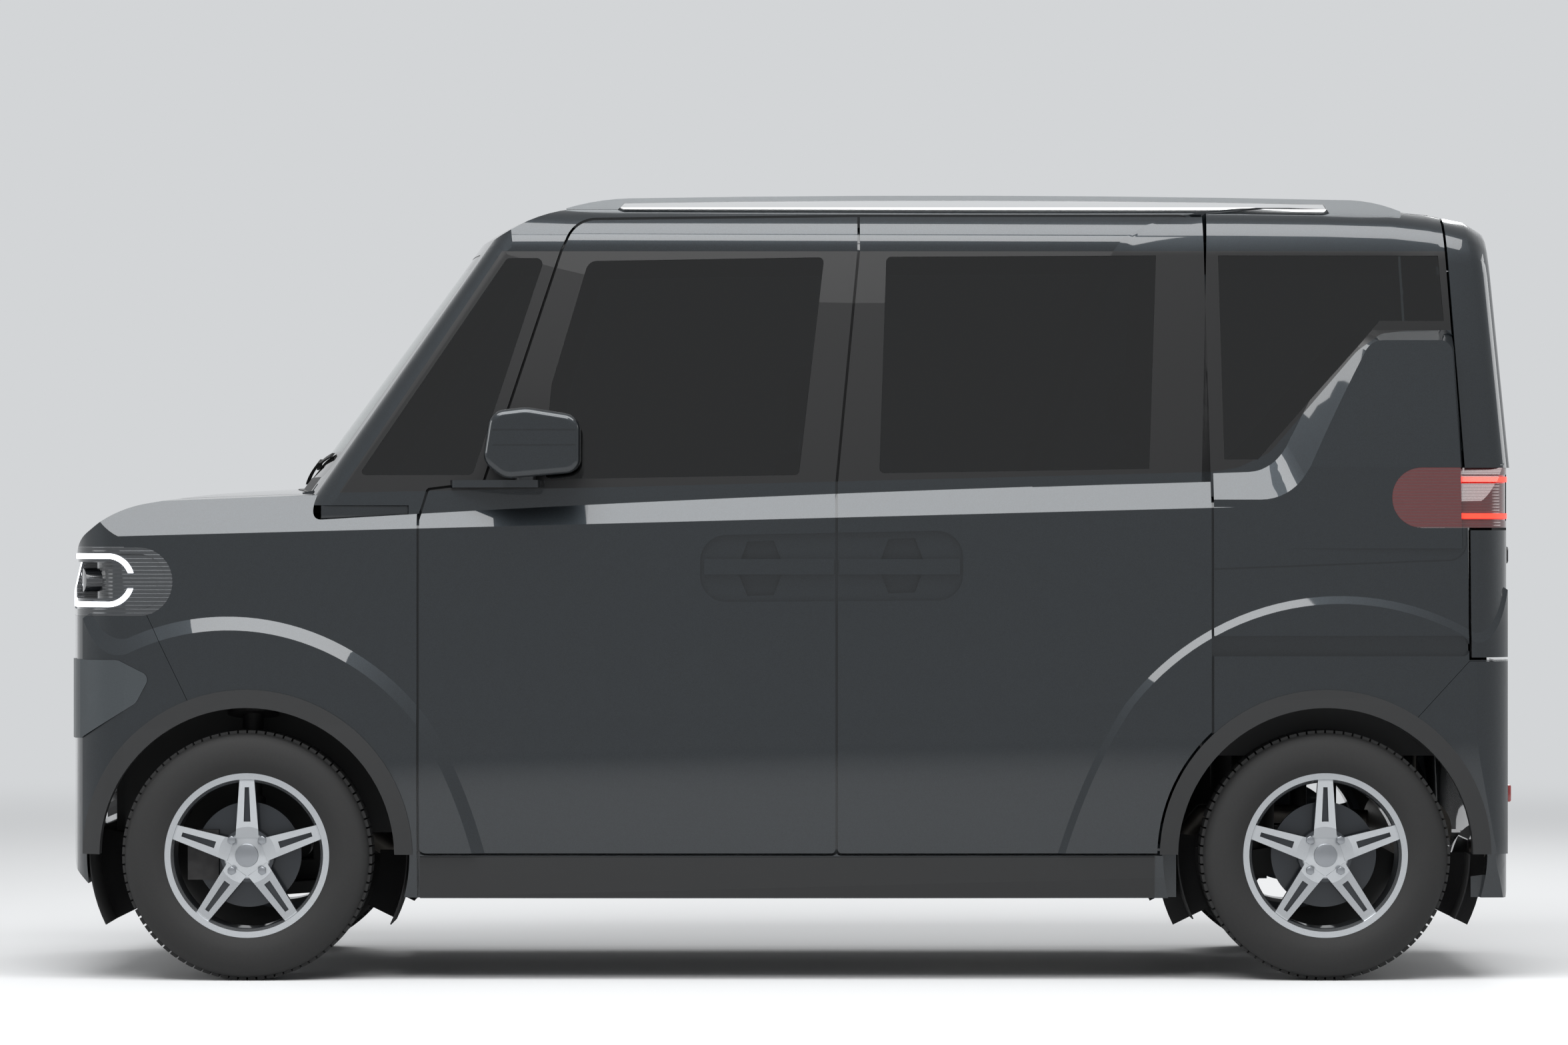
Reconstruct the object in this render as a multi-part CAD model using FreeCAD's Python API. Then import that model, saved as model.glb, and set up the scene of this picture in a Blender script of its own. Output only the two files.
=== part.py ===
"""A kei-class tall wagon: a short, boxy five-door car with hinged front doors, sliding rear doors,
a lift-up tailgate and a bonnet hinged at its rear edge. Millimetres, +X forward, +Y to the car's
left, +Z up. The origin is on the ground under the middle of the car's overall length."""

import FreeCAD
import Part

import math
import os

from FreeCAD import Vector

# Driving dimensions of the whole car
LENGTH = 3395.0
BODY_HALF_WIDTH = 737.5
ROOF_HEIGHT = 1800.0
FRONT_AXLE_X = 1250.0
REAR_AXLE_X = -1245.0
HALF_TRACK = 640.0
GROUND_CLEARANCE = 190.0

# Wheels
TYRE_RADIUS = 289.5
TYRE_WIDTH = 165.0
RIM_RADIUS = 190.5
ARCH_RADIUS = 342.0
FRONT_BLISTER = 14.0
REAR_BLISTER = 8.0
FRONT_BLISTER_RADIUS = 552.0
REAR_BLISTER_RADIUS = 598.0
BLISTER_SLOPE = 2.2
ARCH_TRIM_WIDTH = 42.0
SPOKES = 5
BRAKE_RADIUS = 122.0
BRAKE_THICK = 18.0
BRAKE_BACK = 14.0

# Walls and gaps
DOOR_WALL = 78.0
PILLAR_WALL = 40.0
PANEL_WALL = 28.0
BUMPER_WALL = 40.0
GLASS = 4.5
PANEL_GAP = 6.0
DOOR_SKIN = 26.0
REBATE = 26.0
SEAT_GAP = 0.3
GLASS_SINK = 1.5
GLASS_GAP = 0.3

# Heights on the side
BELT_Z = 1151.0
CREASE_Z = 1068.0
WAIST_RISE = 0.026
SILL_Z = 292.0
DRIP_Z = 1690.0
DOOR_TOP_Z = 1774.0
FLOOR_Z = 350.0
LOAD_FLOOR_Z = 560.0

# Door shut lines, read along the car
FENDER_SHUT_X = 854.0
MID_SHUT_X = -114.0
MID_SHUT_TOP_X = -166.0
REAR_SHUT_X = -983.0
TAILGATE_SHUT_X = -1577.0
TAILGATE_SHUT_TOP_X = -1516.0
TAILGATE_BOTTOM_Z = 745.0

HALF_LENGTH = LENGTH / 2
BOW_X = -243.0
BOW_RADIUS = 42000.0
PLANES = {
    "xz": lambda u, v, w: Vector(u, w, v),
    "xy": lambda u, v, w: Vector(u, v, w),
    "yz": lambda u, v, w: Vector(w, u, v),
}
ALONG = {"xz": Vector(0, 1, 0), "xy": Vector(0, 0, 1), "yz": Vector(1, 0, 0)}


def outline(plane, at, corners):
    """A closed wire of straight runs. A corner is (u, v), or (u, v, radius) where it is rounded."""
    place = PLANES[plane]
    count = len(corners)
    spots = [place(c[0], c[1], at) for c in corners]
    edges = []
    ends = []
    for i, corner in enumerate(corners):
        radius = corner[2] if len(corner) > 2 else 0.0
        here = spots[i]
        back = (spots[i - 1] - here).normalize()
        ahead = (spots[(i + 1) % count] - here).normalize()
        if radius <= 0:
            ends.append((here, here, None))
            continue
        half = back.getAngle(ahead) / 2
        reach = radius / math.tan(half)
        middle = (back + ahead).normalize()
        top = here + middle * (radius / math.sin(half) - radius)
        ends.append((here + back * reach, here + ahead * reach, top))
    for i in range(count):
        start, stop, top = ends[i]
        if top is not None:
            edges.append(Part.Arc(start, top, stop).toShape())
        following = ends[(i + 1) % count][0]
        if stop.distanceToPoint(following) > 1e-6:
            edges.append(Part.makeLine(stop, following))
    return Part.Wire(edges)


def path_wire(plane, at, start, *steps):
    """A closed wire. A step is (u, v) for a straight run, or (via_u, via_v, u, v) for an arc."""
    place = PLANES[plane]
    here = place(start[0], start[1], at)
    first = here
    edges = []
    for step in steps:
        there = place(step[-2], step[-1], at)
        if len(step) == 4:
            edges.append(Part.Arc(here, place(step[0], step[1], at), there).toShape())
        else:
            edges.append(Part.makeLine(here, there))
        here = there
    if here.distanceToPoint(first) > 1e-6:
        edges.append(Part.makeLine(here, first))
    return Part.Wire(edges)


def prism(plane, low, high, corners):
    """The outline pushed from low to high across its plane."""
    return Part.Face(outline(plane, low, corners)).extrude(ALONG[plane] * (high - low))


def grown(plane, low, high, corners, by):
    """The same prism with its outline grown by a distance, or shrunk where that is negative."""
    face = Part.Face(outline(plane, low, corners))
    if by:
        face = face.makeOffset2D(by, 2 if by > 0 else 0)
    return face.extrude(ALONG[plane] * (high - low))


def box(x0, x1, y0, y1, z0, z1):
    return Part.makeBox(x1 - x0, y1 - y0, z1 - z0, Vector(x0, y0, z0))


def rod(start, stop, radius):
    way = Vector(*stop) - Vector(*start)
    return Part.makeCylinder(radius, way.Length, Vector(*start), way)


def other_side(shape):
    """The same shape on the car's right."""
    return shape.mirror(Vector(0, 0, 0), Vector(0, 1, 0))


def both(shape):
    return Part.makeCompound([shape, other_side(shape)])


def joined(shapes):
    result = shapes[0]
    for shape in shapes[1:]:
        result = result.fuse(shape)
    return result.removeSplitter()


def rounded_edges(shape, radius, wanted):
    """The shape with the wanted edges rounded; wanted is asked with each edge."""
    return shape.makeFillet(radius, [e for e in shape.Edges if wanted(e)])


def solids_over(shape, least=500.0):
    """Drops the slivers that a cut can leave."""
    kept = [s for s in shape.Solids if s.Volume > least]
    return kept[0] if len(kept) == 1 else Part.makeCompound(kept)


def keep(name, shape):
    os.makedirs("parts", exist_ok=True)
    kept = solids_over(shape)
    kept.exportStep(f"parts/{name}.step")
    return kept


# Master forms. Each takes an inset, so that a wall is the outer form less the inset one.

def is_upright(edge):
    """An edge that runs mostly up and down."""
    way = edge.Vertexes[-1].Point - edge.Vertexes[0].Point
    return abs(way.z) > 0.6 * way.Length


def plan_form(inset):
    """The ends of the body seen from above: a bowed nose and tail with well rounded corners."""
    nose = HALF_LENGTH - inset
    tail = -HALF_LENGTH + inset
    side = BODY_HALF_WIDTH - inset + 1.5
    front = side - (nose - 62 - BOW_X) ** 2 / (2 * BOW_RADIUS)
    rear = side - (tail + 34 - BOW_X) ** 2 / (2 * BOW_RADIUS)
    wire = path_wire(
        "xy", 0.0,
        (nose - 62, -front),
        (nose, 0, nose - 62, front),
        (BOW_X, side, tail + 34, rear),
        (tail, 0, tail + 34, -rear),
        (BOW_X, -side, nose - 62, -front),
    )
    block = Part.Face(wire).extrude(Vector(0, 0, 1500))
    corners = [e for e in block.Edges if is_upright(e)]
    front = [e for e in corners if e.CenterOfMass.x > 0]
    rear = [e for e in corners if e.CenterOfMass.x < 0]
    block = block.makeFillet(max(150.0 - inset, 20), front)
    rear = [
        e for e in block.Edges
        if is_upright(e) and e.CenterOfMass.x < -1500 and abs(e.CenterOfMass.y) > side - 30
    ]
    return block.makeFillet(max(105.0 - inset, 20), rear)


def side_form(inset):
    """All that lies right of the left side: its section, swung about a far axis for the bow."""
    side = BODY_HALF_WIDTH - inset
    far = -900.0
    wire = path_wire(
        "yz", BOW_X,
        (far, 120), (side - 60, 120), (side - 30, 215),
        (side - 5, 420, side - 1, 620),
        (side, 840, side - 4, CREASE_Z),
        (side - 49, BELT_Z), (side - 80, BELT_Z + 12 - inset), (far, BELT_Z + 60 - inset),
    )
    axis = Vector(BOW_X, BODY_HALF_WIDTH - BOW_RADIUS, 0)
    face = Part.Face(wire)
    face.rotate(axis, Vector(0, 0, 1), -2.7)
    form = face.revolve(axis, Vector(0, 0, 1), 5.4)
    form.rotate(Vector(0, 0, 0), Vector(0, 1, 0), math.degrees(math.atan(WAIST_RISE)))
    return form


def lower_profile(inset):
    """The body below the belt seen from the side: nose, bonnet line, tail."""
    nose = HALF_LENGTH - inset
    tail = -HALF_LENGTH + inset
    low = GROUND_CLEARANCE
    return prism("xz", -900, 900, [
        (tail + 30, low),
        (nose - 110, low),
        (nose - 30, low + 75, 60),
        (nose, 470, 150),
        (nose, 800, 200),
        (nose - 50, 1020 - inset, 70),
        (nose - 145, 1093 - inset, 270),
        (nose - 350, 1127 - inset, 900),
        (1140, 1142 - inset),
        (1120, 1420),
        (tail + 20, 1420),
        (tail, TAILGATE_BOTTOM_Z),
        (tail, 330),
    ])


def bonnet_crown(inset):
    """Cuts the bonnet to a crown across the car."""
    drop = 24.0
    wire = path_wire(
        "yz", 1060.0,
        (-720, 1146 - drop - inset),
        (0, 1146 - inset, 720, 1146 - drop - inset),
        (720, 1500), (-720, 1500),
    )
    return Part.Face(wire).extrude(Vector(640, 0, -26))


def lower_form(inset):
    left = side_form(inset)
    ends = lower_profile(inset).common(plan_form(inset)).cut(bonnet_crown(inset))
    return ends.common(left).common(other_side(left))


def arch_blister(axle_x, radius, proud):
    """The soft swelling of the left side round a wheel arch, out to the skin."""
    inner_y = BODY_HALF_WIDTH - 80
    outer_y = BODY_HALF_WIDTH + 20
    skin_y = BODY_HALF_WIDTH - (axle_x - BOW_X) ** 2 / (2 * BOW_RADIUS)
    cone = Part.makeCone(
        radius + BLISTER_SLOPE * (skin_y - inner_y), radius + BLISTER_SLOPE * (skin_y - outer_y),
        outer_y - inner_y, Vector(axle_x, inner_y, TYRE_RADIUS), Vector(0, 1, 0))
    reach = box(axle_x - 700, axle_x + 700, inner_y, outer_y, SILL_Z, 1000)
    return cone.common(reach).common(side_form(-proud)).common(plan_form(-proud))


def swollen(form, extra):
    """A body form with the four arch blisters on it, all stood off by the same extra."""
    front = arch_blister(FRONT_AXLE_X, FRONT_BLISTER_RADIUS + extra, FRONT_BLISTER + extra)
    rear = arch_blister(REAR_AXLE_X, REAR_BLISTER_RADIUS + extra, REAR_BLISTER + extra)
    profile = lower_profile(-extra)
    sides = [b.common(profile) for b in (front, rear)]
    return form.fuse(sides + [other_side(b) for b in sides])


SCREEN_RAKE = 0.7366
SCREEN_FOOT = (1141.0, 1163.0)
TAIL_RAKE = 0.0911
CABIN_LOW = 1050.0
CABIN_HIGH = 1900.0
HEADER_BOW_RADIUS = 3750.0


def cabin_plan(z, inset):
    """One level of the glasshouse: bowed screen, bowed sides, nearly flat back."""
    screen = SCREEN_FOOT[0] - (z - SCREEN_FOOT[1]) * SCREEN_RAKE - inset * 1.25
    tail = -1684 + (z - 1195) * TAIL_RAKE + inset
    share = (z - CABIN_LOW) / (CABIN_HIGH - CABIN_LOW)
    side = 700 - 79 * share - inset
    bow = 88 - 40 * share
    return path_wire(
        "xy", z,
        (screen - bow, -side),
        (screen, 0, screen - bow, side),
        (-300, side + 10, tail + 26, side - 12),
        (tail, 0, tail + 26, -side + 12),
        (-300, -side - 10, screen - bow, -side),
    )


def roof_profile(inset):
    """The roof line from the screen's head to the lip over the tailgate."""
    top = ROOF_HEIGHT - inset
    head_x, head_z = 741.0 - inset, 1706.0 - inset * 0.6
    wire = path_wire(
        "xz", -900,
        (1400, 1000),
        (1400, 1390),
        (head_x, head_z),
        (643 - inset * 0.5, 1760 - inset, 490, 1793 - inset),
        (-420, top + 8, -1400, 1788 - inset),
        (-1490, 1780 - inset, -1560 + inset * 0.6, 1762 - inset),
        (-1622 + inset, 1734 - inset * 0.8, -1642 + inset, 1680 - inset * 0.5),
        (-1684 + inset, 1195),
        (-1690 + inset, 1000),
    )
    return Part.Face(wire).extrude(Vector(0, 1800, 0))


def header_form(inset):
    """Rounds the roof's front edge along the bow of the screen, swung about a far axis."""
    axis_x = 741.0 - HEADER_BOW_RADIUS
    top = ROOF_HEIGHT + 30
    wire = path_wire(
        "xz", 0.0,
        (axis_x, 1000), (1400, 1000),
        (1400, 1390 - inset * 0.6), (746 - inset, 1706 - inset * 0.6),
        (655 - inset * 0.5, 1762 - inset, 500, 1794 - inset),
        (100, top), (axis_x, top),
    )
    axis = Vector(axis_x, 0, 0)
    face = Part.Face(wire)
    face.rotate(axis, Vector(0, 0, 1), -16)
    return face.revolve(axis, Vector(0, 0, 1), 32)


def roof_section(inset):
    """The roof across the car: crown, rounded rail and the drip line over the doors."""
    drip = 641.0 - inset
    wire = path_wire(
        "yz", -1800,
        (-drip - 120, 1000),
        (-drip, DRIP_Z),
        (-drip + 22, 1755 - inset * 0.6, -drip + 92, 1795 - inset),
        (0, 1807 - inset, drip - 92, 1795 - inset),
        (drip - 22, 1755 - inset * 0.6, drip, DRIP_Z),
        (drip + 120, 1000),
    )
    return Part.Face(wire).extrude(Vector(3600, 0, 0))


def cabin_form(inset):
    loft = Part.makeLoft([cabin_plan(CABIN_LOW, inset), cabin_plan(CABIN_HIGH, inset)], True, True)
    corners = [e for e in loft.Edges if is_upright(e)]
    loft = loft.makeFillet(max(52.0 - inset, 12), corners)
    roof = roof_profile(inset).common(roof_section(inset)).common(header_form(inset))
    return loft.common(roof)


def rear_pad(inset):
    """The raised quarter panel that climbs beside the rear window, on the left."""
    front = REAR_SHUT_X - PANEL_GAP / 2
    foot = [
        (front, 1000), (-1578, 1000), (-1573, 1190),
        (-1549, 1516, 42), (-1293, 1516, 70), (-1085, 1268, 120), (front, 1268),
    ]
    crest = [
        (front, 1000), (-1560, 1000), (-1556, 1190),
        (-1533, 1465, 24), (-1383, 1465, 45), (-1161, 1113, 120), (front, 1113),
    ]
    inner = outline("xz", 640.0, foot)
    outer = outline("xz", BODY_HALF_WIDTH - 12 - inset, crest)
    pad = Part.makeLoft([inner, outer], True, True)
    lean = prism("yz", -1800, 0, [
        (500, 900), (BODY_HALF_WIDTH, 900), (BODY_HALF_WIDTH - 3, 1098), (694, 1507), (500, 1507),
    ])
    return pad.common(lean).cut(grown("xz", 500, 900, TAILGATE_SIDE, PANEL_GAP / 2))


# Outlines drawn in the side view
FRONT_DOOR = [
    (FENDER_SHUT_X, SILL_Z, 18), (FENDER_SHUT_X, 1066), (832, 1137, 8), (703, 1153, 10),
    (525, DRIP_Z), (490, DOOR_TOP_Z - 8, 72), (MID_SHUT_TOP_X, DOOR_TOP_Z),
    (MID_SHUT_TOP_X, DRIP_Z), (MID_SHUT_X, 1148), (MID_SHUT_X, SILL_Z, 12),
]
SLIDE_DOOR = [
    (MID_SHUT_X, SILL_Z, 12), (MID_SHUT_X, 1148), (MID_SHUT_TOP_X, DRIP_Z),
    (MID_SHUT_TOP_X, DOOR_TOP_Z), (-958, DOOR_TOP_Z, 62), (-970, DRIP_Z),
    (REAR_SHUT_X, 1180), (REAR_SHUT_X, SILL_Z, 12),
]
QUARTER_WINDOW = [(650, 1674, 14), (992, 1170, 8), (728, 1170, 14), (563, 1674, 14)]
FRONT_WINDOW = [(461, 1667, 26), (-86, 1676, 12), (-27, 1170, 12), (566, 1160, 20), (546, 1380, 60)]
SLIDE_WINDOW = [(-230, 1677, 12), (-856, 1680, 12), (-838, 1184, 12), (-213, 1174, 12)]
REAR_WINDOW = [
    (-1000, 1680, 14), (-1512, 1680, 14), (-1524, 1528, 40), (-1375, 1528, 85),
    (-1090, 1206, 110), (-1012, 1206, 14),
]
HEADLAMP = [(1422, 1003, 79), (1900, 1003), (1900, 843), (1422, 843, 79)]
TAIL_LAMP = [(-1398, 1187, 68), (-1398, 1048, 68), (-1900, 1048), (-1900, 1187)]
DAYTIME_LIGHT = [(1511, 988, 62), (1900, 988), (1900, 864), (1511, 864, 62)]
LIGHT_BREAK = [(1400, 943), (1566, 943), (1540, 907), (1400, 907)]
LIGHT_WIDTH = 12.0
LAMP_RIM = 16.0
LAMP_SINK = 3.0
LAMP_POCKET = 42.0
TAIL_LIGHT = [(-1519, 1166, 48), (-1519, 1069, 48), (-1900, 1069), (-1900, 1166)]
PROJECTOR_RADIUS = 27.0
RAIL_SLOT = [(-900, 751), (-1576, 751, 14), (-1576, 798, 22), (-900, 798)]
QUARTER_GROOVE = [(-900, 947), (-1571, 972, 42), (-1571, 1300), (-900, 1300)]
CORNER_GARNISH = [
    (1900, 742), (1548, 742, 26), (1473, 704, 18), (1506, 642, 30), (1640, 560), (1900, 540),
]
FRONT_BUMPER_SEAM = [(1483, 846), (1366, 604), (1330, 100), (1900, 100), (1900, 846)]
REAR_BUMPER_SEAM = [
    (-1900, 100), (-1420, 100), (-1440, 590), (-1577, TAILGATE_BOTTOM_Z - PANEL_GAP),
    (-1900, TAILGATE_BOTTOM_Z - PANEL_GAP),
]
TAILGATE_SIDE = [
    (TAILGATE_SHUT_TOP_X, 1960), (TAILGATE_SHUT_TOP_X, 1776), (-1531, DRIP_Z),
    (-1567, 1190), (TAILGATE_SHUT_X, 1040), (TAILGATE_SHUT_X - 2, TAILGATE_BOTTOM_Z),
    (-1960, TAILGATE_BOTTOM_Z), (-1960, 1960),
]
HANDLE_RECESS = [(201, 876, 60), (201, 1030, 60), (-406, 1042, 60), (-406, 880, 60)]
HAND_POCKETS = [
    [(116, 950), (92, 1016), (31, 1018), (7, 955), (31, 892), (92, 890)],
    [(-210, 958), (-234, 1022), (-295, 1024), (-319, 962), (-295, 898), (-234, 896)],
]
RECESS_DEPTH = 20.0
POCKET_DEPTH = 42.0
GRIP_THICKNESS = 14.0

# Outlines drawn from the front or the rear
SCREEN = [(-604, 1166, 50), (604, 1166, 50), (560, 1686, 50), (-560, 1686, 50)]
BACKLIGHT = [(-572, 1236, 60), (572, 1236, 60), (534, 1668, 50), (-534, 1668, 50)]
INTAKE = [(-430, 330, 40), (430, 330, 40), (470, 560, 40), (-470, 560, 40)]

LAMP_INNER_Y = 396.0
TAIL_LAMP_INNER_Y = 604.0
BONNET_LIP_Z = 1009.0
ROOF_SEAM_Y = 540.0
DOOR_LIMIT_Y = 580.0
WELL_INNER_Y = 396.0
REAR_WELL_INNER_Y = 530.0
STEER_ROOM = 372.0
HOUSE_WALL = 14.0
CLADDING_DEPTH = 4.0
BULKHEAD_X = 1040.0
STRUT_CUP_Z = 612.0
STRUT_CUP_DEPTH = 198.0


def side_prism(corners, by=0.0, low=500.0, high=960.0):
    return grown("xz", low, high, corners, by)


def half(shape, y=500.0):
    """What lies to the left of y."""
    return shape.common(box(-1900, 1900, y, 900, 0, 1900))


def disc(axle_x, radius, y0, y1):
    """A cylinder across the car, on a wheel's axis."""
    return Part.makeCylinder(radius, y1 - y0, Vector(axle_x, y0, TYRE_RADIUS), Vector(0, 1, 0))


def wheel_well(axle_x, inner_y, room):
    """The space a left wheel needs: the arch in the skin and a deeper well behind it."""
    arch = disc(axle_x, ARCH_RADIUS, inner_y, 900)
    deep = disc(axle_x, room, inner_y, 660)
    below = box(axle_x - room, axle_x + room, inner_y, 660, 0, TYRE_RADIUS)
    under = box(axle_x - ARCH_RADIUS, axle_x + ARCH_RADIUS, inner_y, 900, 0, TYRE_RADIUS)
    return arch.fuse([deep, below, under])


def cabin_air():
    """The hollow of the cabin: the glasshouse inset by a pillar, the lower part by a door."""
    side = BODY_HALF_WIDTH - DOOR_WALL
    low = prism("xz", -side, side, [
        (-1640, LOAD_FLOOR_Z), (-950, LOAD_FLOOR_Z, 40), (-880, FLOOR_Z, 40), (880, FLOOR_Z, 40),
        (1000, 470, 30), (BULKHEAD_X, 700), (BULKHEAD_X, 1120), (900, 1190), (-1640, 1210),
    ])
    houses = []
    for axle, inner, room in (
        (FRONT_AXLE_X, WELL_INNER_Y, STEER_ROOM), (REAR_AXLE_X, REAR_WELL_INNER_Y, ARCH_RADIUS),
    ):
        house = disc(axle, room + HOUSE_WALL, inner - HOUSE_WALL, 800)
        houses += [house, other_side(house)]
    return low.cut(Part.makeCompound(houses)).fuse(cabin_form(PILLAR_WALL))


def inner_form(inset):
    """The left half of the whole outer form, inset."""
    return half(lower_form(inset).fuse([cabin_form(inset), rear_pad(inset)]))


def revolve(profile_wire):
    return Part.Face(profile_wire).revolve(Vector(0, 0, 0), Vector(0, 1, 0), 360)


def tyre(x, y):
    """A low tyre with square shoulders; its tread pattern is not modelled."""
    side = TYRE_WIDTH / 2
    bead = side - 14
    seat = RIM_RADIUS + 0.5
    shape = revolve(outline("yz", 0, [
        (-bead, seat), (bead, seat), (side, RIM_RADIUS + 38), (side - 4, TYRE_RADIUS - 26),
        (side - 24, TYRE_RADIUS), (24 - side, TYRE_RADIUS), (4 - side, TYRE_RADIUS - 26),
        (-side, RIM_RADIUS + 38),
    ]))
    shape.translate(Vector(x, y, TYRE_RADIUS))
    return shape


def rim(x, y):
    """A five-spoke alloy wheel, outer face to +Y, with its hub, brake disc and barrel."""
    bead = TYRE_WIDTH / 2 - 14
    barrel = revolve(outline("yz", 0, [
        (-bead, RIM_RADIUS), (-bead, RIM_RADIUS - 14), (-bead + 16, RIM_RADIUS - 22),
        (bead - 16, RIM_RADIUS - 22), (bead, RIM_RADIUS - 14), (bead, RIM_RADIUS),
    ]))
    hub = revolve(outline("yz", 0, [(18, 0), (62, 0), (62, 24), (54, 62), (18, 62)]))
    blades = []
    for i in range(SPOKES):
        blade = prism("xz", 26, 70, [(-27, 40), (27, 40), (17, 176), (-17, 176)])
        blade = blade.cut(prism("xz", 52, 80, [(-8, 78), (8, 78), (5, 158), (-5, 158)]))
        blade.rotate(Vector(0, 0, 0), Vector(0, 1, 0), 360 / SPOKES * i)
        blades.append(blade)
    face = revolve(outline("yz", 0, [
        (24, 30), (60, 30), (58, 66), (66, 172), (66, 176), (40, 176), (30, 70),
    ]))
    star = joined(blades).common(face.fuse(hub))
    brake = revolve(outline("yz", 0, [
        (-BRAKE_BACK, 56), (BRAKE_THICK - BRAKE_BACK, 56),
        (BRAKE_THICK - BRAKE_BACK, BRAKE_RADIUS), (-BRAKE_BACK, BRAKE_RADIUS)]))
    stub = revolve(outline("yz", 0, [(-12, 0), (20, 0), (20, 60), (-12, 60)]))
    shape = joined([barrel, star, hub, brake, stub])
    shape.translate(Vector(x, y, TYRE_RADIUS))
    return shape


def build_wheels():
    for name, axle in (("front", FRONT_AXLE_X), ("rear", REAR_AXLE_X)):
        left_tyre = tyre(axle, HALF_TRACK)
        left_rim = rim(axle, HALF_TRACK)
        keep(f"tyre_{name}_left", left_tyre)
        keep(f"tyre_{name}_right", other_side(left_tyre))
        keep(f"rim_{name}_left", left_rim)
        keep(f"rim_{name}_right", other_side(left_rim))


# Kingpin line of the left front wheel, from the lower ball joint to the strut's top
KINGPIN_LOW = Vector(FRONT_AXLE_X, 575, 200)
KINGPIN_HIGH = Vector(FRONT_AXLE_X, 455, 840)
KINGPIN_WAY = (KINGPIN_HIGH - KINGPIN_LOW).normalize()
STUB_END_Y = HALF_TRACK - 12 - SEAT_GAP


def on_kingpin(z):
    return KINGPIN_LOW + KINGPIN_WAY * ((z - KINGPIN_LOW.z) / KINGPIN_WAY.z)


def front_upright():
    """The left knuckle with its caliper, and the strut and spring that turn with it."""
    x = FRONT_AXLE_X
    hub_z = TYRE_RADIUS
    back_y = HALF_TRACK - BRAKE_BACK
    body = box(x - 34, x + 34, 560, back_y - 10, 226, 392)
    stub = rod((x, back_y - 20, hub_z), (x, STUB_END_Y, hub_z), 26)
    caliper = box(x + 68, x + 140, back_y - 24, back_y + 38, hub_z - 58, hub_z + 58)
    caliper = caliper.cut(disc(x, BRAKE_RADIUS + 6, back_y - 3, back_y + BRAKE_THICK + 3))
    bracket = box(x + 20, x + 90, back_y - 32, back_y - 14, hub_z - 40, hub_z + 40)
    ball = Part.makeCylinder(13, 40, on_kingpin(193), KINGPIN_WAY)
    clamp = Part.makeCylinder(32, 90, on_kingpin(330), KINGPIN_WAY)
    tube = Part.makeCylinder(24, 250, on_kingpin(400), KINGPIN_WAY)
    seat = Part.makeCylinder(60, 8, on_kingpin(610), KINGPIN_WAY)
    spring = Part.makeCylinder(52, 184, on_kingpin(614), KINGPIN_WAY)
    cap_foot = on_kingpin(STRUT_CUP_Z) + KINGPIN_WAY * (STRUT_CUP_DEPTH - 12 - SEAT_GAP)
    cap = Part.makeCylinder(60, 12, cap_foot, KINGPIN_WAY)
    return joined([body, stub, caliper, bracket, ball, clamp, tube, seat, spring, cap])


def front_subframe():
    """Cross-member with a lower arm to each ball joint, and the steering rack on it."""
    x = FRONT_AXLE_X
    beam = box(x - 130, x + 20, -330, 330, 218, 262)
    arm = prism("xy", 190, 218, [
        (x + 60, 296, 10), (x - 190, 296, 10), (x - 190, 344, 20),
        (x - 28, 600, 20), (x + 28, 600, 20), (x + 60, 350, 20),
    ])
    socket = Part.makeCylinder(13 + SEAT_GAP, 60, on_kingpin(185), KINGPIN_WAY)
    hang = box(x - 110, x + 10, 296, 330, 205, 240)
    rack = rod((x - 100, -300, 290), (x - 100, 300, 290), 22)
    post = box(x - 125, x - 75, 180, 220, 250, 290)
    legs = box(x - 190, x - 130, 280, 330, 190, FLOOR_Z - 45 - SEAT_GAP)
    ear = box(x - 250, x - 130, 280, 330, 250, FLOOR_Z - 45 - SEAT_GAP)
    left = arm.cut(socket).fuse([hang, post, legs, ear])
    return joined([beam, left, other_side(left), rack])


def rear_axle():
    """A twist beam: two trailing arms, the cross-beam, springs, dampers and hub carriers."""
    x = REAR_AXLE_X
    beam = box(x + 120, x + 190, -470, 470, 225, 290)
    pivot_top = FLOOR_Z - 45 - SEAT_GAP
    arm = prism("xz", 455, 505, [
        (x - 40, 250, 12), (x + 200, 230, 30), (x + 440, 240, 20), (x + 440, pivot_top),
        (x + 390, pivot_top), (x + 180, 290, 30), (x - 40, 320, 12),
    ])
    carrier = rod((x, 500, TYRE_RADIUS), (x, STUB_END_Y, TYRE_RADIUS), 50)
    top = LOAD_FLOOR_Z - 45 - SEAT_GAP
    spring = Part.makeCylinder(50, top - 280, Vector(x + 150, 420, 280))
    damper = rod((x - 20, 480, 300), (x - 20, 480, top), 22)
    left = joined([arm, carrier, spring, damper])
    return joined([beam, left, other_side(left)])


def wheelhouse(axle_x, inner_y, room):
    """The inner wing over a left wheel, out to the side frame's seam."""
    outer = disc(axle_x, room + HOUSE_WALL, inner_y - HOUSE_WALL, ROOF_SEAM_Y)
    return outer.cut(disc(axle_x, room, inner_y, 900))


def strut_tower():
    """A cup over the top of the left strut."""
    foot = on_kingpin(STRUT_CUP_Z)
    outer = Part.makeCylinder(84, STRUT_CUP_DEPTH + 12, foot, KINGPIN_WAY)
    inner = Part.makeCylinder(72, STRUT_CUP_DEPTH, foot, KINGPIN_WAY)
    return outer, inner


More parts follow.
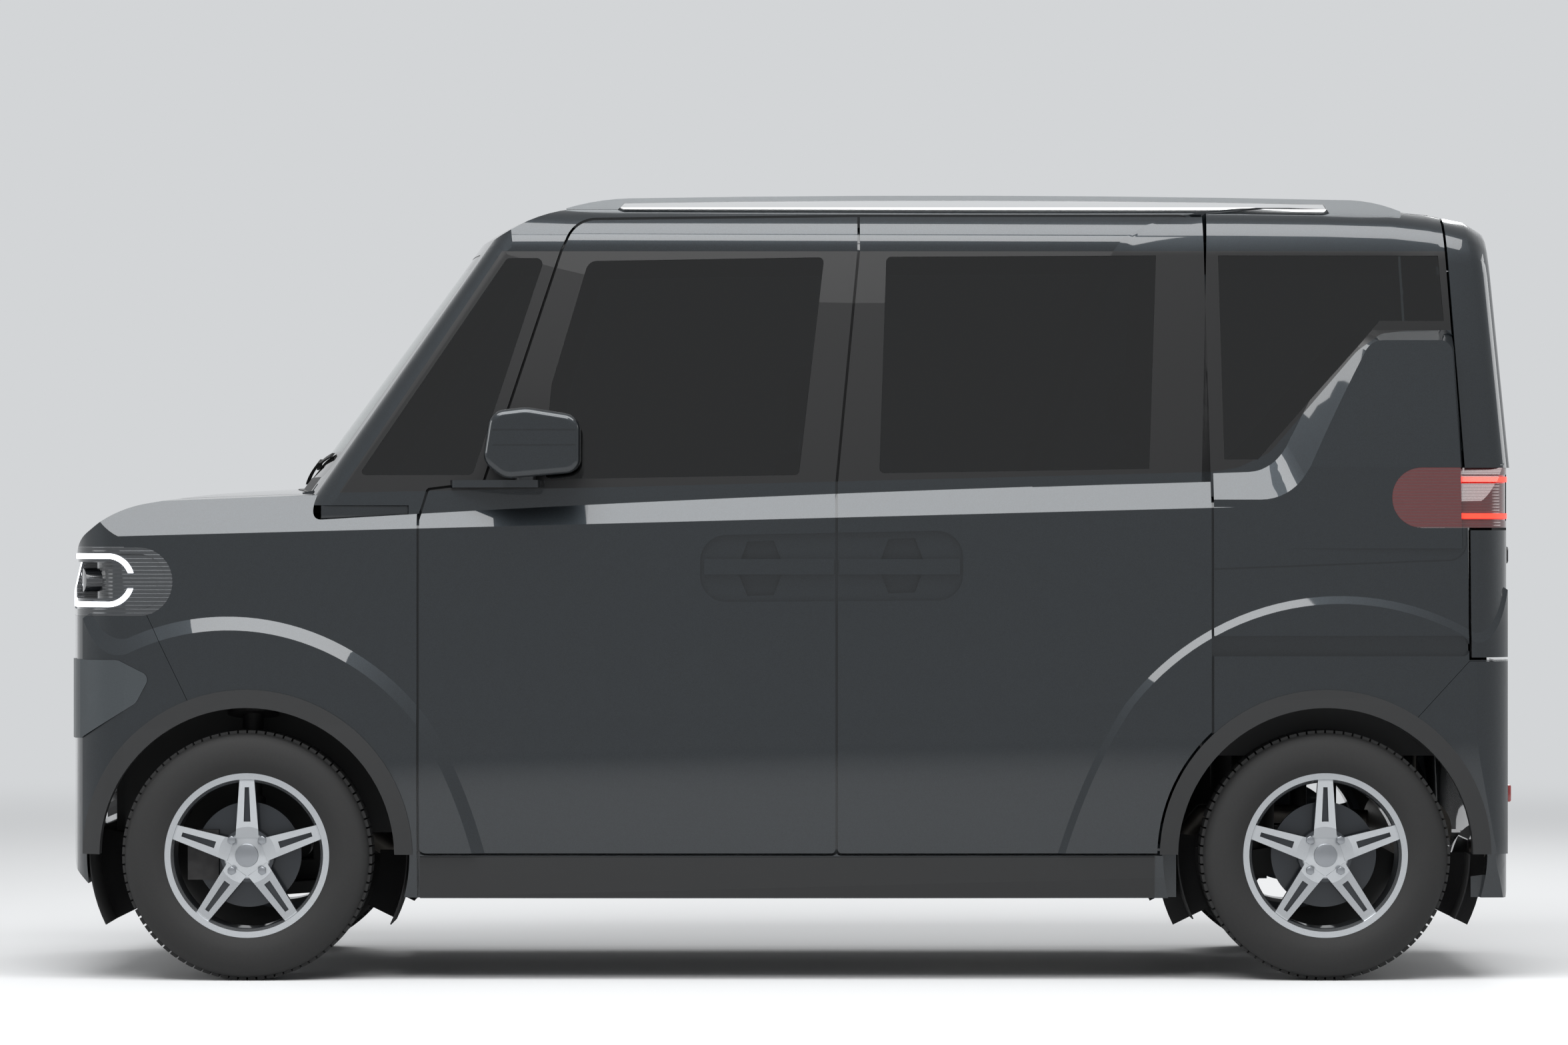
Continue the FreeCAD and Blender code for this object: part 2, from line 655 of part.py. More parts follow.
def floor_pan(behind):
    """The cabin floor with its step up to the load floor, the rear wheelhouses and the sides."""
    thick = 45
    seam = ROOF_SEAM_Y
    pan = prism("xz", -seam, seam, [
        (-1640, LOAD_FLOOR_Z), (-950, LOAD_FLOOR_Z, 40), (-880, FLOOR_Z, 40), (880, FLOOR_Z, 40),
        (1000, 470, 30), (1020, 470), (1034, 440, 40), (905, FLOOR_Z - thick, 50),
        (-905, FLOOR_Z - thick, 50), (-975, LOAD_FLOOR_Z - thick, 50),
        (-1640, LOAD_FLOOR_Z - thick),
    ])
    house = wheelhouse(REAR_AXLE_X, REAR_WELL_INNER_Y, ARCH_RADIUS)
    house = house.common(box(-1640, -880, 500, ROOF_SEAM_Y, LOAD_FLOOR_Z - thick, 760))
    rear = box(-1656, -1640, -seam, seam, LOAD_FLOOR_Z - thick, TAILGATE_BOTTOM_Z - 5)
    flange = box(-1634, -1624, -seam, seam, LOAD_FLOOR_Z - thick, TAILGATE_BOTTOM_Z + 26)
    stops = []
    for y in (-330, 330):
        stops.append(rod((-1643, y, 700), (-1643, y, TAILGATE_BOTTOM_Z + PANEL_GAP / 2 - SEAT_GAP), 5))
    room = wheel_well(FRONT_AXLE_X, WELL_INNER_Y - HOUSE_WALL, STEER_ROOM + HOUSE_WALL)
    rear_room = wheel_well(REAR_AXLE_X, REAR_WELL_INNER_Y, ARCH_RADIUS)
    pan = pan.cut(Part.makeCompound([room, other_side(room), rear_room, other_side(rear_room)]))
    pan = joined([pan, house, other_side(house), rear, flange]).common(behind)
    return joined([pan, *stops])


def bulkhead():
    """The wall before the cabin, the front wheelhouses, strut towers, cowl and front panel."""
    seam = ROOF_SEAM_Y
    wall = prism("xz", -seam, seam, [
        (1020 + SEAT_GAP, 470), (BULKHEAD_X, 700), (BULKHEAD_X, 1080), (1062, 1080), (1062, 690),
        (1046, 470),
    ])
    house = wheelhouse(FRONT_AXLE_X, WELL_INNER_Y, STEER_ROOM)
    house = house.common(box(880, 1560, 300, seam, 330, 760))
    outer, inner = strut_tower()
    well = disc(FRONT_AXLE_X, STEER_ROOM, WELL_INNER_Y, 900)
    both_wells = both(well)
    left = joined([house, outer]).cut(inner).cut(well)
    rail = box(1000, 1600, 320, 380, 470, 540)
    front = box(1560, 1590, -380, 380, 930, 970).fuse([
        box(1560, 1590, 300, 380, 470, 970), box(1560, 1590, -380, -300, 470, 970)])
    radiator = box(1562, 1588, -300, 300, 330, 970)
    wall = wall.cut(both_wells)
    return joined([wall, left, other_side(left), rail, other_side(rail), front, radiator])


def mirror(lower_clear, cabin_clear):
    """The left door mirror, folded back along the glass as it is parked, on its foot."""
    head = prism("xz", 722, 838, [
        (476, 1176, 34), (476, 1306, 40), (600, 1326, 90), (682, 1316, 40), (700, 1200, 40),
        (650, 1160, 50)])
    head = rounded_edges(head, 16, lambda e: e.BoundBox.YLength < 1)
    lines = [box(486, 676, 835, 840, z, z + 4) for z in (1236, 1271)]
    head = head.cut(Part.makeCompound(lines))
    foot = prism("xy", 1141, 1158, [
        (790, 660), (775, 712, 10), (650, 780, 30), (572, 784, 20), (562, 700, 10), (562, 660)])
    neck = Part.makeCylinder(24, 45, Vector(604, 752, 1150))
    return joined([head, foot, neck]).cut(lower_clear).cut(cabin_clear)


POD_FACE_X = 640.0


def dashboard():
    """The dashboard across the cabin, its glove box side flat, with the steering column."""
    reach = BODY_HALF_WIDTH - DOOR_WALL - 22
    body = prism("xz", -reach, reach, [
        (BULKHEAD_X - SEAT_GAP, 1104), (BULKHEAD_X - SEAT_GAP, 780), (860, 742, 30), (720, 800, 60),
        (662, 960, 50), (742, 1066, 60),
    ])
    house = disc(FRONT_AXLE_X, STEER_ROOM + HOUSE_WALL + 4, 300, 800)
    body = body.cut(Part.makeCompound([house, other_side(house)]))
    hood = prism("xz", -500, -180, [(700, 1020, 20), (760, 1108, 30), (930, 1108), (930, 1040)])
    console = prism("xz", -150, 150, [(740, 640, 20), (700, 960, 30), (900, 960), (900, 640)])
    pod = prism("xz", -385, -285, [
        (POD_FACE_X, 905, 10), (POD_FACE_X, 1020, 10), (780, 1000), (780, 880)])
    return joined([body, hood, console, pod])


def steering_wheel():
    """A three-spoke wheel on the right, tilted as in a tall car."""
    rim_ring = Part.makeTorus(176, 15)
    boss = Part.makeCylinder(52, 40, Vector(0, 0, -28))
    spokes = joined([
        Part.makeBox(340, 40, 12, Vector(-170, -20, -12)), Part.makeBox(36, 170, 12, Vector(-18, -170, -12)),
    ])
    column = Part.makeCylinder(22, 110, Vector(0, 0, -130))
    wheel = joined([rim_ring, boss, spokes, column])
    wheel.rotate(Vector(0, 0, 0), Vector(0, 0, 1), 90)
    wheel.rotate(Vector(0, 0, 0), Vector(0, 1, 0), -62)
    wheel.translate(Vector(560, -335, 1000))
    return wheel.cut(box(POD_FACE_X - SEAT_GAP, 900, -600, 0, 700, 1300))


def seat(x, y, width):
    """One seat or bench: base, cushion, back and headrest, leaning back."""
    base = box(x - 390, x - 60, y - width / 2 + 40, y + width / 2 - 40, FLOOR_Z + SEAT_GAP, 600)
    cushion = prism("xz", y - width / 2, y + width / 2, [
        (x, 600, 40), (x + 4, 716, 50), (x - 440, 690, 30), (x - 480, 590, 30)])
    back = prism("xz", y - width / 2 + 8, y + width / 2 - 8, [
        (x - 452, 610, 40), (x - 400, 700, 20), (x - 548, 1240, 50), (x - 640, 1240, 40),
        (x - 540, 610, 50)])
    return base, cushion, back


def headrest(x, y):
    pad = prism("xz", y - 125, y + 125, [
        (x - 546, 1262, 30), (x - 562, 1440, 40), (x - 652, 1440, 40), (x - 640, 1262, 30)])
    stalk = box(x - 606, x - 592, y - 50, y - 38, 1180, 1290)
    other = box(x - 606, x - 592, y + 38, y + 50, 1180, 1290)
    return [pad, stalk, other]


def build_seats():
    front = []
    for y in (-330, 330):
        front.append(joined([*seat(560, y, 500), *headrest(560, y)]))
    keep("front_seats", Part.makeCompound(front))
    bench = [*seat(-230, 0, 1180), *headrest(-230, -330), *headrest(-230, 330)]
    keep("rear_seat", joined(bench))


def exhaust_and_tank():
    """The fuel tank under the cabin floor and the exhaust from the engine to the silencer."""
    tank = rounded_edges(box(-760, -300, -260, 380, 196, FLOOR_Z - 45 - SEAT_GAP), 24, is_upright)
    run = [
        (1120 - SEAT_GAP, -100, 345), (1080, -100, 345), (960, -100, 268), (840, -330, 268),
        (-955, -330, 268), (-1020, -330, 345), (-1200, -330, 345), (-1440, -330, 330),
    ]
    pieces = []
    for start, stop in zip(run, run[1:]):
        pieces.append(rod(start, stop, 23))
        pieces.append(Part.makeSphere(23, Vector(*stop)))
    pieces.append(rod((-1500, -420, 330), (-1500, 260, 330), 78))
    pieces.append(rod((-1500, -300, 330), (-1618, -300, 272), 22))
    for y in (-180, 160):
        pieces.append(rod((-1500, y, 390), (-1500, y, LOAD_FLOOR_Z - 45 - SEAT_GAP), 6))
    pipe = joined(pieces)
    return tank, pipe


def roof_rails(cabin_clear):
    """The left rail: a low bar with feet at both ends, seated on the roof."""
    bar = path_wire(
        "xz", 546, (515, 1793), (450, 1808, 370, 1816), (-500, 1822, -1290, 1812),
        (-1370, 1804, -1430, 1785), (-1430, 1764), (-1275, 1764), (-1250, 1802),
        (-500, 1811, 380, 1805), (420, 1764), (515, 1764))
    return Part.Face(bar).extrude(Vector(0, 26, 0)).cut(cabin_clear)


# Lid hinge lines, square to the car, a little above the panel they carry
TAILGATE_HINGE = (TAILGATE_SHUT_TOP_X, 1784.0)
BONNET_HINGE = (1104.0, 1131.0)


def hinge_leaf(line, y0, y1, radius, web):
    """One half of a lid hinge: a barrel on the hinge line and the web down to its panel."""
    x, z = line
    barrel = rod((x, y0, z), (x, y1, z), radius)
    return barrel.fuse(prism("xz", y0, y1, web))


def tailgate_hinges():
    """The left pair's roof half and tailgate half."""
    x, z = TAILGATE_HINGE
    fixed = hinge_leaf(TAILGATE_HINGE, 240, 262, 4.5, [
        (x, z + 4), (x + 22, z - 8), (x + 22, z - 16), (x + 5, z - 16), (x - 2, z - 3)])
    moving = hinge_leaf(TAILGATE_HINGE, 262 + SEAT_GAP, 284, 4.5, [
        (x, z + 4), (x + 2, z - 3), (x - 6, z - 18), (x - 26, z - 18), (x - 24, z - 8)])
    return fixed, moving


def bonnet_hinges():
    """The left hinge's cowl half and bonnet half."""
    x, z = BONNET_HINGE
    fixed = hinge_leaf(BONNET_HINGE, 575, 588, 4, [
        (x, z + 3.5), (x + 1, z - 3.5), (x - 10, z - 12), (x - 24, z - 12), (x - 22, z - 1)])
    moving = hinge_leaf(BONNET_HINGE, 561, 575 - SEAT_GAP, 4, [
        (x, z + 3.5), (x + 26, z - 1), (x + 26, z - 12), (x + 4, z - 12), (x - 1, z - 3.5)])
    return fixed, moving


def front_wipers(clear):
    """Two arms on the cowl, parked along the foot of the screen."""
    blade_form = cabin_form(-6.0).cut(cabin_form(-0.8))
    arm_form = cabin_form(-11.0).cut(cabin_form(-5.0))
    found = []
    for pivot_y, tip_y in ((-40, 470), (-520, -60)):
        blade = prism("yz", 900, 1400, [
            (pivot_y + 90, 1186), (tip_y, 1214), (tip_y, 1223), (pivot_y + 90, 1195)])
        middle = (pivot_y + 90 + tip_y) / 2
        arm = prism("yz", 900, 1400, [
            (pivot_y - 9, 1152), (pivot_y + 9, 1152), (middle + 8, 1201), (middle - 2, 1210)])
        pivot_x = SCREEN_FOOT[0] + 8 - 88 * (pivot_y / 700) ** 2
        boss = Part.makeCylinder(9, 45, Vector(pivot_x, pivot_y, 1120))
        found.append(joined([blade.common(blade_form), arm.common(arm_form), boss]).cut(clear))
    return Part.makeCompound(found)


def rear_wiper(clear):
    """The tailgate's wiper, pivoted above its glass and parked level along the top of it."""
    strip = cabin_form(-12.0).cut(cabin_form(-0.5)).common(box(-1900, -1500, -500, 500, 1000, 1800))
    blade = prism("yz", -1800, -1500, [(-20, 1618), (330, 1602), (330, 1612), (-20, 1628)])
    arm = prism("yz", -1800, -1500, [(-16, 1645), (0, 1668), (180, 1620), (176, 1606)])
    boss = Part.makeCylinder(15, 50, Vector(-1630, 0, 1655), Vector(-1, 0, 0.0))
    return joined([blade.common(strip), arm.common(strip), boss]).cut(clear)


def build_body():
    outer_lower = swollen(lower_form(0.0), 0.0)
    outer_cabin = cabin_form(0.0)
    pad = rear_pad(0.0)
    master = outer_lower.fuse([outer_cabin, pad, other_side(pad)])
    air = cabin_air()
    wall = master.cut(air)
    left_master = half(master)
    left_wall = half(wall)
    door_wall = left_master.cut(lower_form(DOOR_WALL).fuse(cabin_form(PILLAR_WALL)))
    inner_26 = inner_form(DOOR_SKIN)
    inner_32 = inner_form(DOOR_SKIN + PANEL_GAP)
    sunk = lower_form(GLASS_SINK).fuse(cabin_form(GLASS_SINK))
    glass_skin = sunk.cut(lower_form(GLASS_SINK + GLASS).fuse(cabin_form(GLASS_SINK + GLASS)))
    left_glass = half(glass_skin)

    wells = [wheel_well(FRONT_AXLE_X, WELL_INNER_Y, STEER_ROOM),
             wheel_well(REAR_AXLE_X, REAR_WELL_INNER_Y, ARCH_RADIUS)]
    wells += [other_side(w) for w in wells]
    trims = [disc(FRONT_AXLE_X, ARCH_RADIUS + ARCH_TRIM_WIDTH - 8, 545, 900),
             disc(REAR_AXLE_X, ARCH_RADIUS + ARCH_TRIM_WIDTH - 8, 640, 900)]
    trims += [other_side(t) for t in trims]
    all_wells = Part.makeCompound([w.fuse(t) for w, t in zip(wells, trims)])
    rear_trim = disc(REAR_AXLE_X, ARCH_RADIUS + ARCH_TRIM_WIDTH + PANEL_GAP, 500, 900)

    gap = PANEL_GAP / 2
    recess = side_prism(HANDLE_RECESS, 0, BODY_HALF_WIDTH - RECESS_DEPTH)
    for pocket in HAND_POCKETS:
        recess = recess.fuse(side_prism(pocket, 0, BODY_HALF_WIDTH - POCKET_DEPTH))
    face = BODY_HALF_WIDTH - 4
    grips = box(-399, 192, face - GRIP_THICKNESS, face, 940, 976)
    back = BODY_HALF_WIDTH - RECESS_DEPTH - 3
    grips = grips.fuse([box(150, 192, back, face, 940, 976), box(-210, 7, back, face, 940, 976),
                        box(-399, -357, back, face, 940, 976)])
    grips = grips.cut(box(MID_SHUT_X - 6, MID_SHUT_X + 6, 600, 900, 900, 1000))
    doors = []
    for corners, window, extra in (
        (FRONT_DOOR, FRONT_WINDOW, None), (SLIDE_DOOR, SLIDE_WINDOW, rear_trim),
    ):
        full = door_wall.common(side_prism(corners, -gap, DOOR_LIMIT_Y))
        ring = side_prism(corners, 5).cut(side_prism(corners, -REBATE - gap))
        made = full.cut(ring.common(inner_26))
        made = made.cut(side_prism(window)).cut(recess)
        if extra:
            made = made.cut(extra)
        grip = grips.common(side_prism(corners, -gap))
        doors.append(made.fuse(grip).removeSplitter())
    keep("front_door_left", doors[0])
    keep("front_door_right", other_side(doors[0]))
    keep("slide_doors", both(doors[1]))
    front_pane = left_glass.common(side_prism(FRONT_WINDOW, -GLASS_GAP))
    keep("front_glass_left", front_pane)
    keep("front_glass_right", other_side(front_pane))
    panes = [left_glass.common(side_prism(w, -GLASS_GAP))
             for w in (QUARTER_WINDOW, SLIDE_WINDOW, REAR_WINDOW)]
    keep("side_glass", Part.makeCompound(panes + [other_side(p) for p in panes]))

    tail_zone = grown("xz", -900, 900, TAILGATE_SIDE, -gap)
    tail_hole = grown("xz", -900, 900, TAILGATE_SIDE, gap)
    lamp_zone = side_prism(TAIL_LAMP, 0, TAIL_LAMP_INNER_Y)
    lamp_out = side_prism(TAIL_LAMP, PANEL_GAP, TAIL_LAMP_INNER_Y - PANEL_GAP)
    lamp_hole = side_prism(TAIL_LAMP, SEAT_GAP, TAIL_LAMP_INNER_Y - PANEL_GAP)
    roof_leaf, tail_leaf = tailgate_hinges()
    tailgate = wall.common(tail_zone).cut(Part.makeCompound(
        [lamp_out, other_side(lamp_out), prism("yz", -1800, -1560, BACKLIGHT)]))
    keep("tailgate", joined([tailgate, tail_leaf, other_side(tail_leaf)]))
    keep("tailgate_glass", glass_skin.common(grown("yz", -1800, -1560, BACKLIGHT, -GLASS_GAP)))
    lens_skin = outer_lower.cut(lower_form(LAMP_SINK))
    bar_depth = lower_form(-1.0).cut(lower_form(LIGHT_WIDTH))
    bar_room = lower_form(-5.0).cut(lower_form(LIGHT_WIDTH + SEAT_GAP))
    tail_bar = side_prism(TAIL_LIGHT, 0, TAIL_LAMP_INNER_Y + 12).cut(
        side_prism(TAIL_LIGHT, -LIGHT_WIDTH))
    tail_bar_room = side_prism(TAIL_LIGHT, SEAT_GAP, TAIL_LAMP_INNER_Y + 12 - SEAT_GAP).cut(
        side_prism(TAIL_LIGHT, -LIGHT_WIDTH - SEAT_GAP))
    tail_lamp = left_wall.common(lamp_zone).cut(Part.makeCompound([
        lens_skin.common(side_prism(TAIL_LAMP, -LAMP_RIM)), tail_bar_room.common(bar_room)]))
    keep("tail_lamps", both(tail_lamp))
    keep("tail_light_bars", both(tail_bar.common(bar_depth)))

    proud = swollen(lower_form(-CLADDING_DEPTH), CLADDING_DEPTH)
    bumper_wall = outer_lower.cut(lower_form(BUMPER_WALL))
    rear_seam = grown("xz", -900, 900, REAR_BUMPER_SEAM, 0)
    rear_hole = grown("xz", -900, 900, REAR_BUMPER_SEAM, 1.0)
    keep("rear_bumper", bumper_wall.common(rear_seam).cut(all_wells))
    front_seam = grown("xz", -900, 900, FRONT_BUMPER_SEAM, 0)
    front_hole = side_prism(FRONT_BUMPER_SEAM, 1.0, 300)
    headlamp_zone = side_prism(HEADLAMP, -SEAT_GAP, LAMP_INNER_Y + SEAT_GAP)
    headlamp_hole = side_prism(HEADLAMP, 0, LAMP_INNER_Y)
    grille_hole = box(1500, 1900, -LAMP_INNER_Y, LAMP_INNER_Y, 846, 1003)
    intake = prism("yz", 1600, 1900, INTAKE)
    garnish_zone = side_prism(CORNER_GARNISH, 0, 470).cut(
        disc(FRONT_AXLE_X, ARCH_RADIUS + ARCH_TRIM_WIDTH + PANEL_GAP, 400, 900))
    garnish_hole = side_prism(CORNER_GARNISH, SEAT_GAP, 470 - SEAT_GAP).cut(
        disc(FRONT_AXLE_X, ARCH_RADIUS + ARCH_TRIM_WIDTH + PANEL_GAP - SEAT_GAP, 400, 900))
    garnish = proud.cut(lower_form(12.0)).common(garnish_zone)
    garnish_hole = garnish_hole.cut(lower_form(12.0 + SEAT_GAP))
    keep("bumper_garnish", both(garnish))
    front_bumper = bumper_wall.common(front_seam).cut(Part.makeCompound([
        all_wells, headlamp_hole, other_side(headlamp_hole), grille_hole, intake,
        garnish_hole, other_side(garnish_hole)]))
    keep("front_bumper", front_bumper)
    headlamp = outer_lower.cut(lower_form(75.0)).common(headlamp_zone)
    light = side_prism(DAYTIME_LIGHT, 0, LAMP_INNER_Y + LAMP_RIM).cut(Part.makeCompound([
        side_prism(DAYTIME_LIGHT, -LIGHT_WIDTH, LAMP_INNER_Y + LAMP_RIM + LIGHT_WIDTH),
        side_prism(LIGHT_BREAK)]))
    light_room = side_prism(DAYTIME_LIGHT, SEAT_GAP, LAMP_INNER_Y + LAMP_RIM - SEAT_GAP).cut(
        Part.makeCompound([
            side_prism(DAYTIME_LIGHT, -LIGHT_WIDTH - SEAT_GAP,
                       LAMP_INNER_Y + LAMP_RIM + LIGHT_WIDTH + SEAT_GAP),
            side_prism(LIGHT_BREAK, -SEAT_GAP)]))
    pocket = side_prism(DAYTIME_LIGHT, -LIGHT_WIDTH - 8, LAMP_INNER_Y + 46).common(
        box(1562, 1900, 0, 900, 0, 1900)).cut(lower_form(LAMP_POCKET))
    projectors = []
    for y in (498, 586):
        lens = Part.makeCylinder(PROJECTOR_RADIUS, 200, Vector(1500, y, 926), Vector(1, 0, 0))
        bowl = Part.makeSphere(PROJECTOR_RADIUS - 4, Vector(1500, y, 926))
        projectors.append(lens.common(lower_form(LIGHT_WIDTH)).fuse(bowl))
    headlamp = headlamp.cut(Part.makeCompound([
        lens_skin.common(side_prism(HEADLAMP, -LAMP_RIM, LAMP_INNER_Y + LAMP_RIM)),
        light_room.common(bar_room), pocket]))
    headlamp = headlamp.fuse([p.common(headlamp_zone) for p in projectors]).removeSplitter()
    keep("headlamps", both(headlamp))
    keep("daytime_lights", both(light.common(bar_depth)))
    bars = lower_form(3.0).cut(lower_form(48.0))
    grille = bars.common(box(1500, 1900, SEAT_GAP - LAMP_INNER_Y, LAMP_INNER_Y - SEAT_GAP,
                             846 + SEAT_GAP, 1003))
    slots = [box(1500, 1900, 42 - LAMP_INNER_Y, LAMP_INNER_Y - 42, 872 + 38 * i, 894 + 38 * i)
             for i in range(3)]
    lower = bars.common(grown("yz", 1600, 1900, INTAKE, -SEAT_GAP))
    slots += [box(1500, 1900, -392, 392, 352 + 50 * i, 384 + 50 * i) for i in range(4)]
    keep("grille", Part.makeCompound([grille, lower]).cut(Part.makeCompound(slots)))

    panel = outer_lower.cut(lower_form(PANEL_WALL))
    edge = [(1106, -604), (1178, 0, 1106, 604), (1560, 566), (1760, 520), (1760, -520), (1560, -566)]
    bonnet_face = Part.Face(path_wire("xy", BONNET_LIP_Z, *edge))
    bonnet_zone = bonnet_face.extrude(Vector(0, 0, 500))
    hole_face = bonnet_face.makeOffset2D(PANEL_GAP)
    hole_face.translate(Vector(0, 0, -PANEL_GAP))
    bonnet_hole = hole_face.extrude(Vector(0, 0, 500))
    cowl_leaf, bonnet_leaf = bonnet_hinges()
    keep("bonnet", joined([panel.common(bonnet_zone), bonnet_leaf, other_side(bonnet_leaf)]))

    cabin_front = outer_cabin.common(box(857, 1300, -900, 900, 1000, 1900))
    wing_zone = side_prism([
        (FENDER_SHUT_X + gap, SILL_Z - 100), (1900, SILL_Z - 100), (1900, 1300),
        (FENDER_SHUT_X + gap, 1300)])
    wing = panel.common(wing_zone).cut(Part.makeCompound(
        [all_wells, headlamp_hole, front_hole, bonnet_hole, cabin_front]))
    keep("front_wings", both(wing))

    screen_cut = prism("yz", 600, 1400, SCREEN)
    holes = []
    for corners in (FRONT_DOOR, SLIDE_DOOR):
        holes.append(side_prism(corners, gap, DOOR_LIMIT_Y - PANEL_GAP).cut(inner_32))
        holes.append(side_prism(corners, gap - REBATE, DOOR_LIMIT_Y - PANEL_GAP))
    side = left_wall.common(box(-1900, 1300, ROOF_SEAM_Y, 900, 0, 1900))
    wing_skin = panel.common(box(850, 1900, 0, 900, 0, 1200)).cut(cabin_front)
    side = side.cut(Part.makeCompound([box(876, 1900, 0, 900, 0, 1100), wing_skin]))
    for cutter in holes:
        side = side.cut(cutter)
    for cutter in (side_prism(QUARTER_WINDOW), side_prism(REAR_WINDOW), tail_hole, lamp_hole,
                   screen_cut, all_wells, bonnet_hole, rear_hole):
        side = side.cut(cutter)
    groove = side_prism(QUARTER_GROOVE, 0, 690).cut(side_prism(QUARTER_GROOVE, -4, 600))
    groove = groove.common(box(-1900, REAR_SHUT_X, 600, 900, 900, TAIL_LAMP[1][1] + 2))
    side = side.cut(groove.cut(lower_form(4.0)))
    side = side.cut(side_prism(RAIL_SLOT, 0, BODY_HALF_WIDTH - 42))
    side = solids_over(side, 20000).cut(box(1093, 1126, 555, 575, 1115, 1150))
    seal = lower_form(DOOR_SKIN + SEAT_GAP).common(box(-830, 846, 600, 900, SILL_Z + 5, SILL_Z + 14))
    seal = seal.cut(box(MID_SHUT_X - 12, MID_SHUT_X + 12, 600, 900, 0, 900))
    side = side.fuse([seal.cut(lower_form(DOOR_SKIN + PANEL_GAP + 6)), cowl_leaf])
    keep("side_frames", both(side.removeSplitter()))
    roof = wall.common(box(-1900, 900, -ROOF_SEAM_Y, ROOF_SEAM_Y, 1640, 1900))
    roof = roof.cut(Part.makeCompound([tail_hole, screen_cut]))
    keep("roof_panel", joined([roof, roof_leaf, other_side(roof_leaf)]))
    keep("windscreen", glass_skin.common(grown("yz", 600, 1400, SCREEN, -GLASS_GAP)))
    cowl = wall.common(box(1000, 1260, -ROOF_SEAM_Y, ROOF_SEAM_Y, 1082, 1166))
    cowl = cowl.cut(Part.makeCompound([bonnet_hole, screen_cut]))

    lower_clear = swollen(lower_form(-SEAT_GAP), SEAT_GAP)
    cabin_clear = cabin_form(-SEAT_GAP)
    shell = half(proud).cut(lower_form(PANEL_WALL))
    lip = half(proud).cut(lower_clear)
    trims = []
    for axle in (FRONT_AXLE_X, REAR_AXLE_X):
        deep = disc(axle, ARCH_RADIUS + ARCH_TRIM_WIDTH - 8.5, 545, 900)
        wide = disc(axle, ARCH_RADIUS + ARCH_TRIM_WIDTH, 545, 900)
        trim = shell.common(deep).fuse(lip.common(wide)).cut(disc(axle, ARCH_RADIUS, 500, 900))
        trims.append(trim.common(box(-1900, 1900, 500, 900, SILL_Z, 900)).removeSplitter())
    trims.append(lip.common(box(-850, 850, 600, 900, GROUND_CLEARANCE + 2, SILL_Z - 6)))
    keep("cladding", Part.makeCompound(trims + [other_side(t) for t in trims]))
    keep("roof_rails", both(roof_rails(cabin_clear)))
    left_mirror = mirror(lower_clear, cabin_clear)
    keep("mirror_left", left_mirror)
    keep("mirror_right", other_side(left_mirror))
    keep("wipers", front_wipers(cabin_clear.fuse(lower_clear)))
    keep("tailgate_wiper", rear_wiper(cabin_clear))
    return cowl, lower_form(BUMPER_WALL + SEAT_GAP)


def build():
    cowl, behind = build_body()
    keep("floor_pan", floor_pan(behind))
    keep("bulkhead", Part.makeCompound([bulkhead(), cowl]))
    build_wheels()
    upright = front_upright()
    keep("upright_left", upright)
    keep("upright_right", other_side(upright))
    keep("front_subframe", front_subframe())
    keep("rear_axle", rear_axle())
    keep("engine_block", box(1120, 1480, -290, 290, 320, 800))
    keep("exhaust_and_tank", Part.makeCompound(exhaust_and_tank()))
    keep("dashboard", dashboard())
    keep("steering_wheel", steering_wheel())
    build_seats()


build()
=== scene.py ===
"""Looks of a kei-class tall wagon in dark metallic paint, seen from its left side as in the photograph.
Metres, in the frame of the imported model: +X forward, +Y to the car's left, +Z up."""

import math

import bmesh
import bpy
from mathutils import Matrix, Vector


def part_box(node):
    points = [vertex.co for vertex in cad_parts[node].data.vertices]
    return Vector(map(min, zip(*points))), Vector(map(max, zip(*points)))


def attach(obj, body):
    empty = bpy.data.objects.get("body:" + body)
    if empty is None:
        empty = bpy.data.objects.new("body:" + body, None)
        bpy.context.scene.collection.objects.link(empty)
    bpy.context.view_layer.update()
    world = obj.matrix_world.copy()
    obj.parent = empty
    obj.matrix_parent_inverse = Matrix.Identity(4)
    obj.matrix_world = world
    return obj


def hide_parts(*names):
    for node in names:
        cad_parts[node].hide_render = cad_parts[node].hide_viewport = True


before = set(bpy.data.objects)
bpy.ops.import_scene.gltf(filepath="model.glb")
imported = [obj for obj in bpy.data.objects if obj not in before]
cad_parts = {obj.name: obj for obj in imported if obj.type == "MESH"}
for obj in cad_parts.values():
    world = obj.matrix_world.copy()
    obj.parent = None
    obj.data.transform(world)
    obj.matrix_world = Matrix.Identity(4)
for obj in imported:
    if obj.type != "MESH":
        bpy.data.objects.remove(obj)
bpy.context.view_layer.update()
bpy.ops.object.select_all(action="DESELECT")


# Camera: far off to the car's left and level with its handles, so the side shows almost without
# perspective. The lens takes in 3.78 m at the car's middle, on the full 2352 x 1568 picture.
camera_x, camera_distance, camera_height = 0.0075, 17.4, 1.06
camera_data = bpy.data.cameras.new("camera")
camera_data.sensor_width = 36.0
camera_data.lens = 165.7
camera = bpy.data.objects.new("camera", camera_data)
camera.location = (camera_x, camera_distance, camera_height)
camera.rotation_euler = (math.radians(90), 0, math.radians(180))
bpy.context.collection.objects.link(camera)
bpy.context.scene.camera = camera
bpy.context.scene.view_settings.view_transform = "Standard"


# Stage: a plain pale studio, its floor fading into the surround far behind the car, and large soft
# lamps overhead and at the sides.
surround = "#d3d5d7"
fade_from, fade_to = 3.5, 13.0


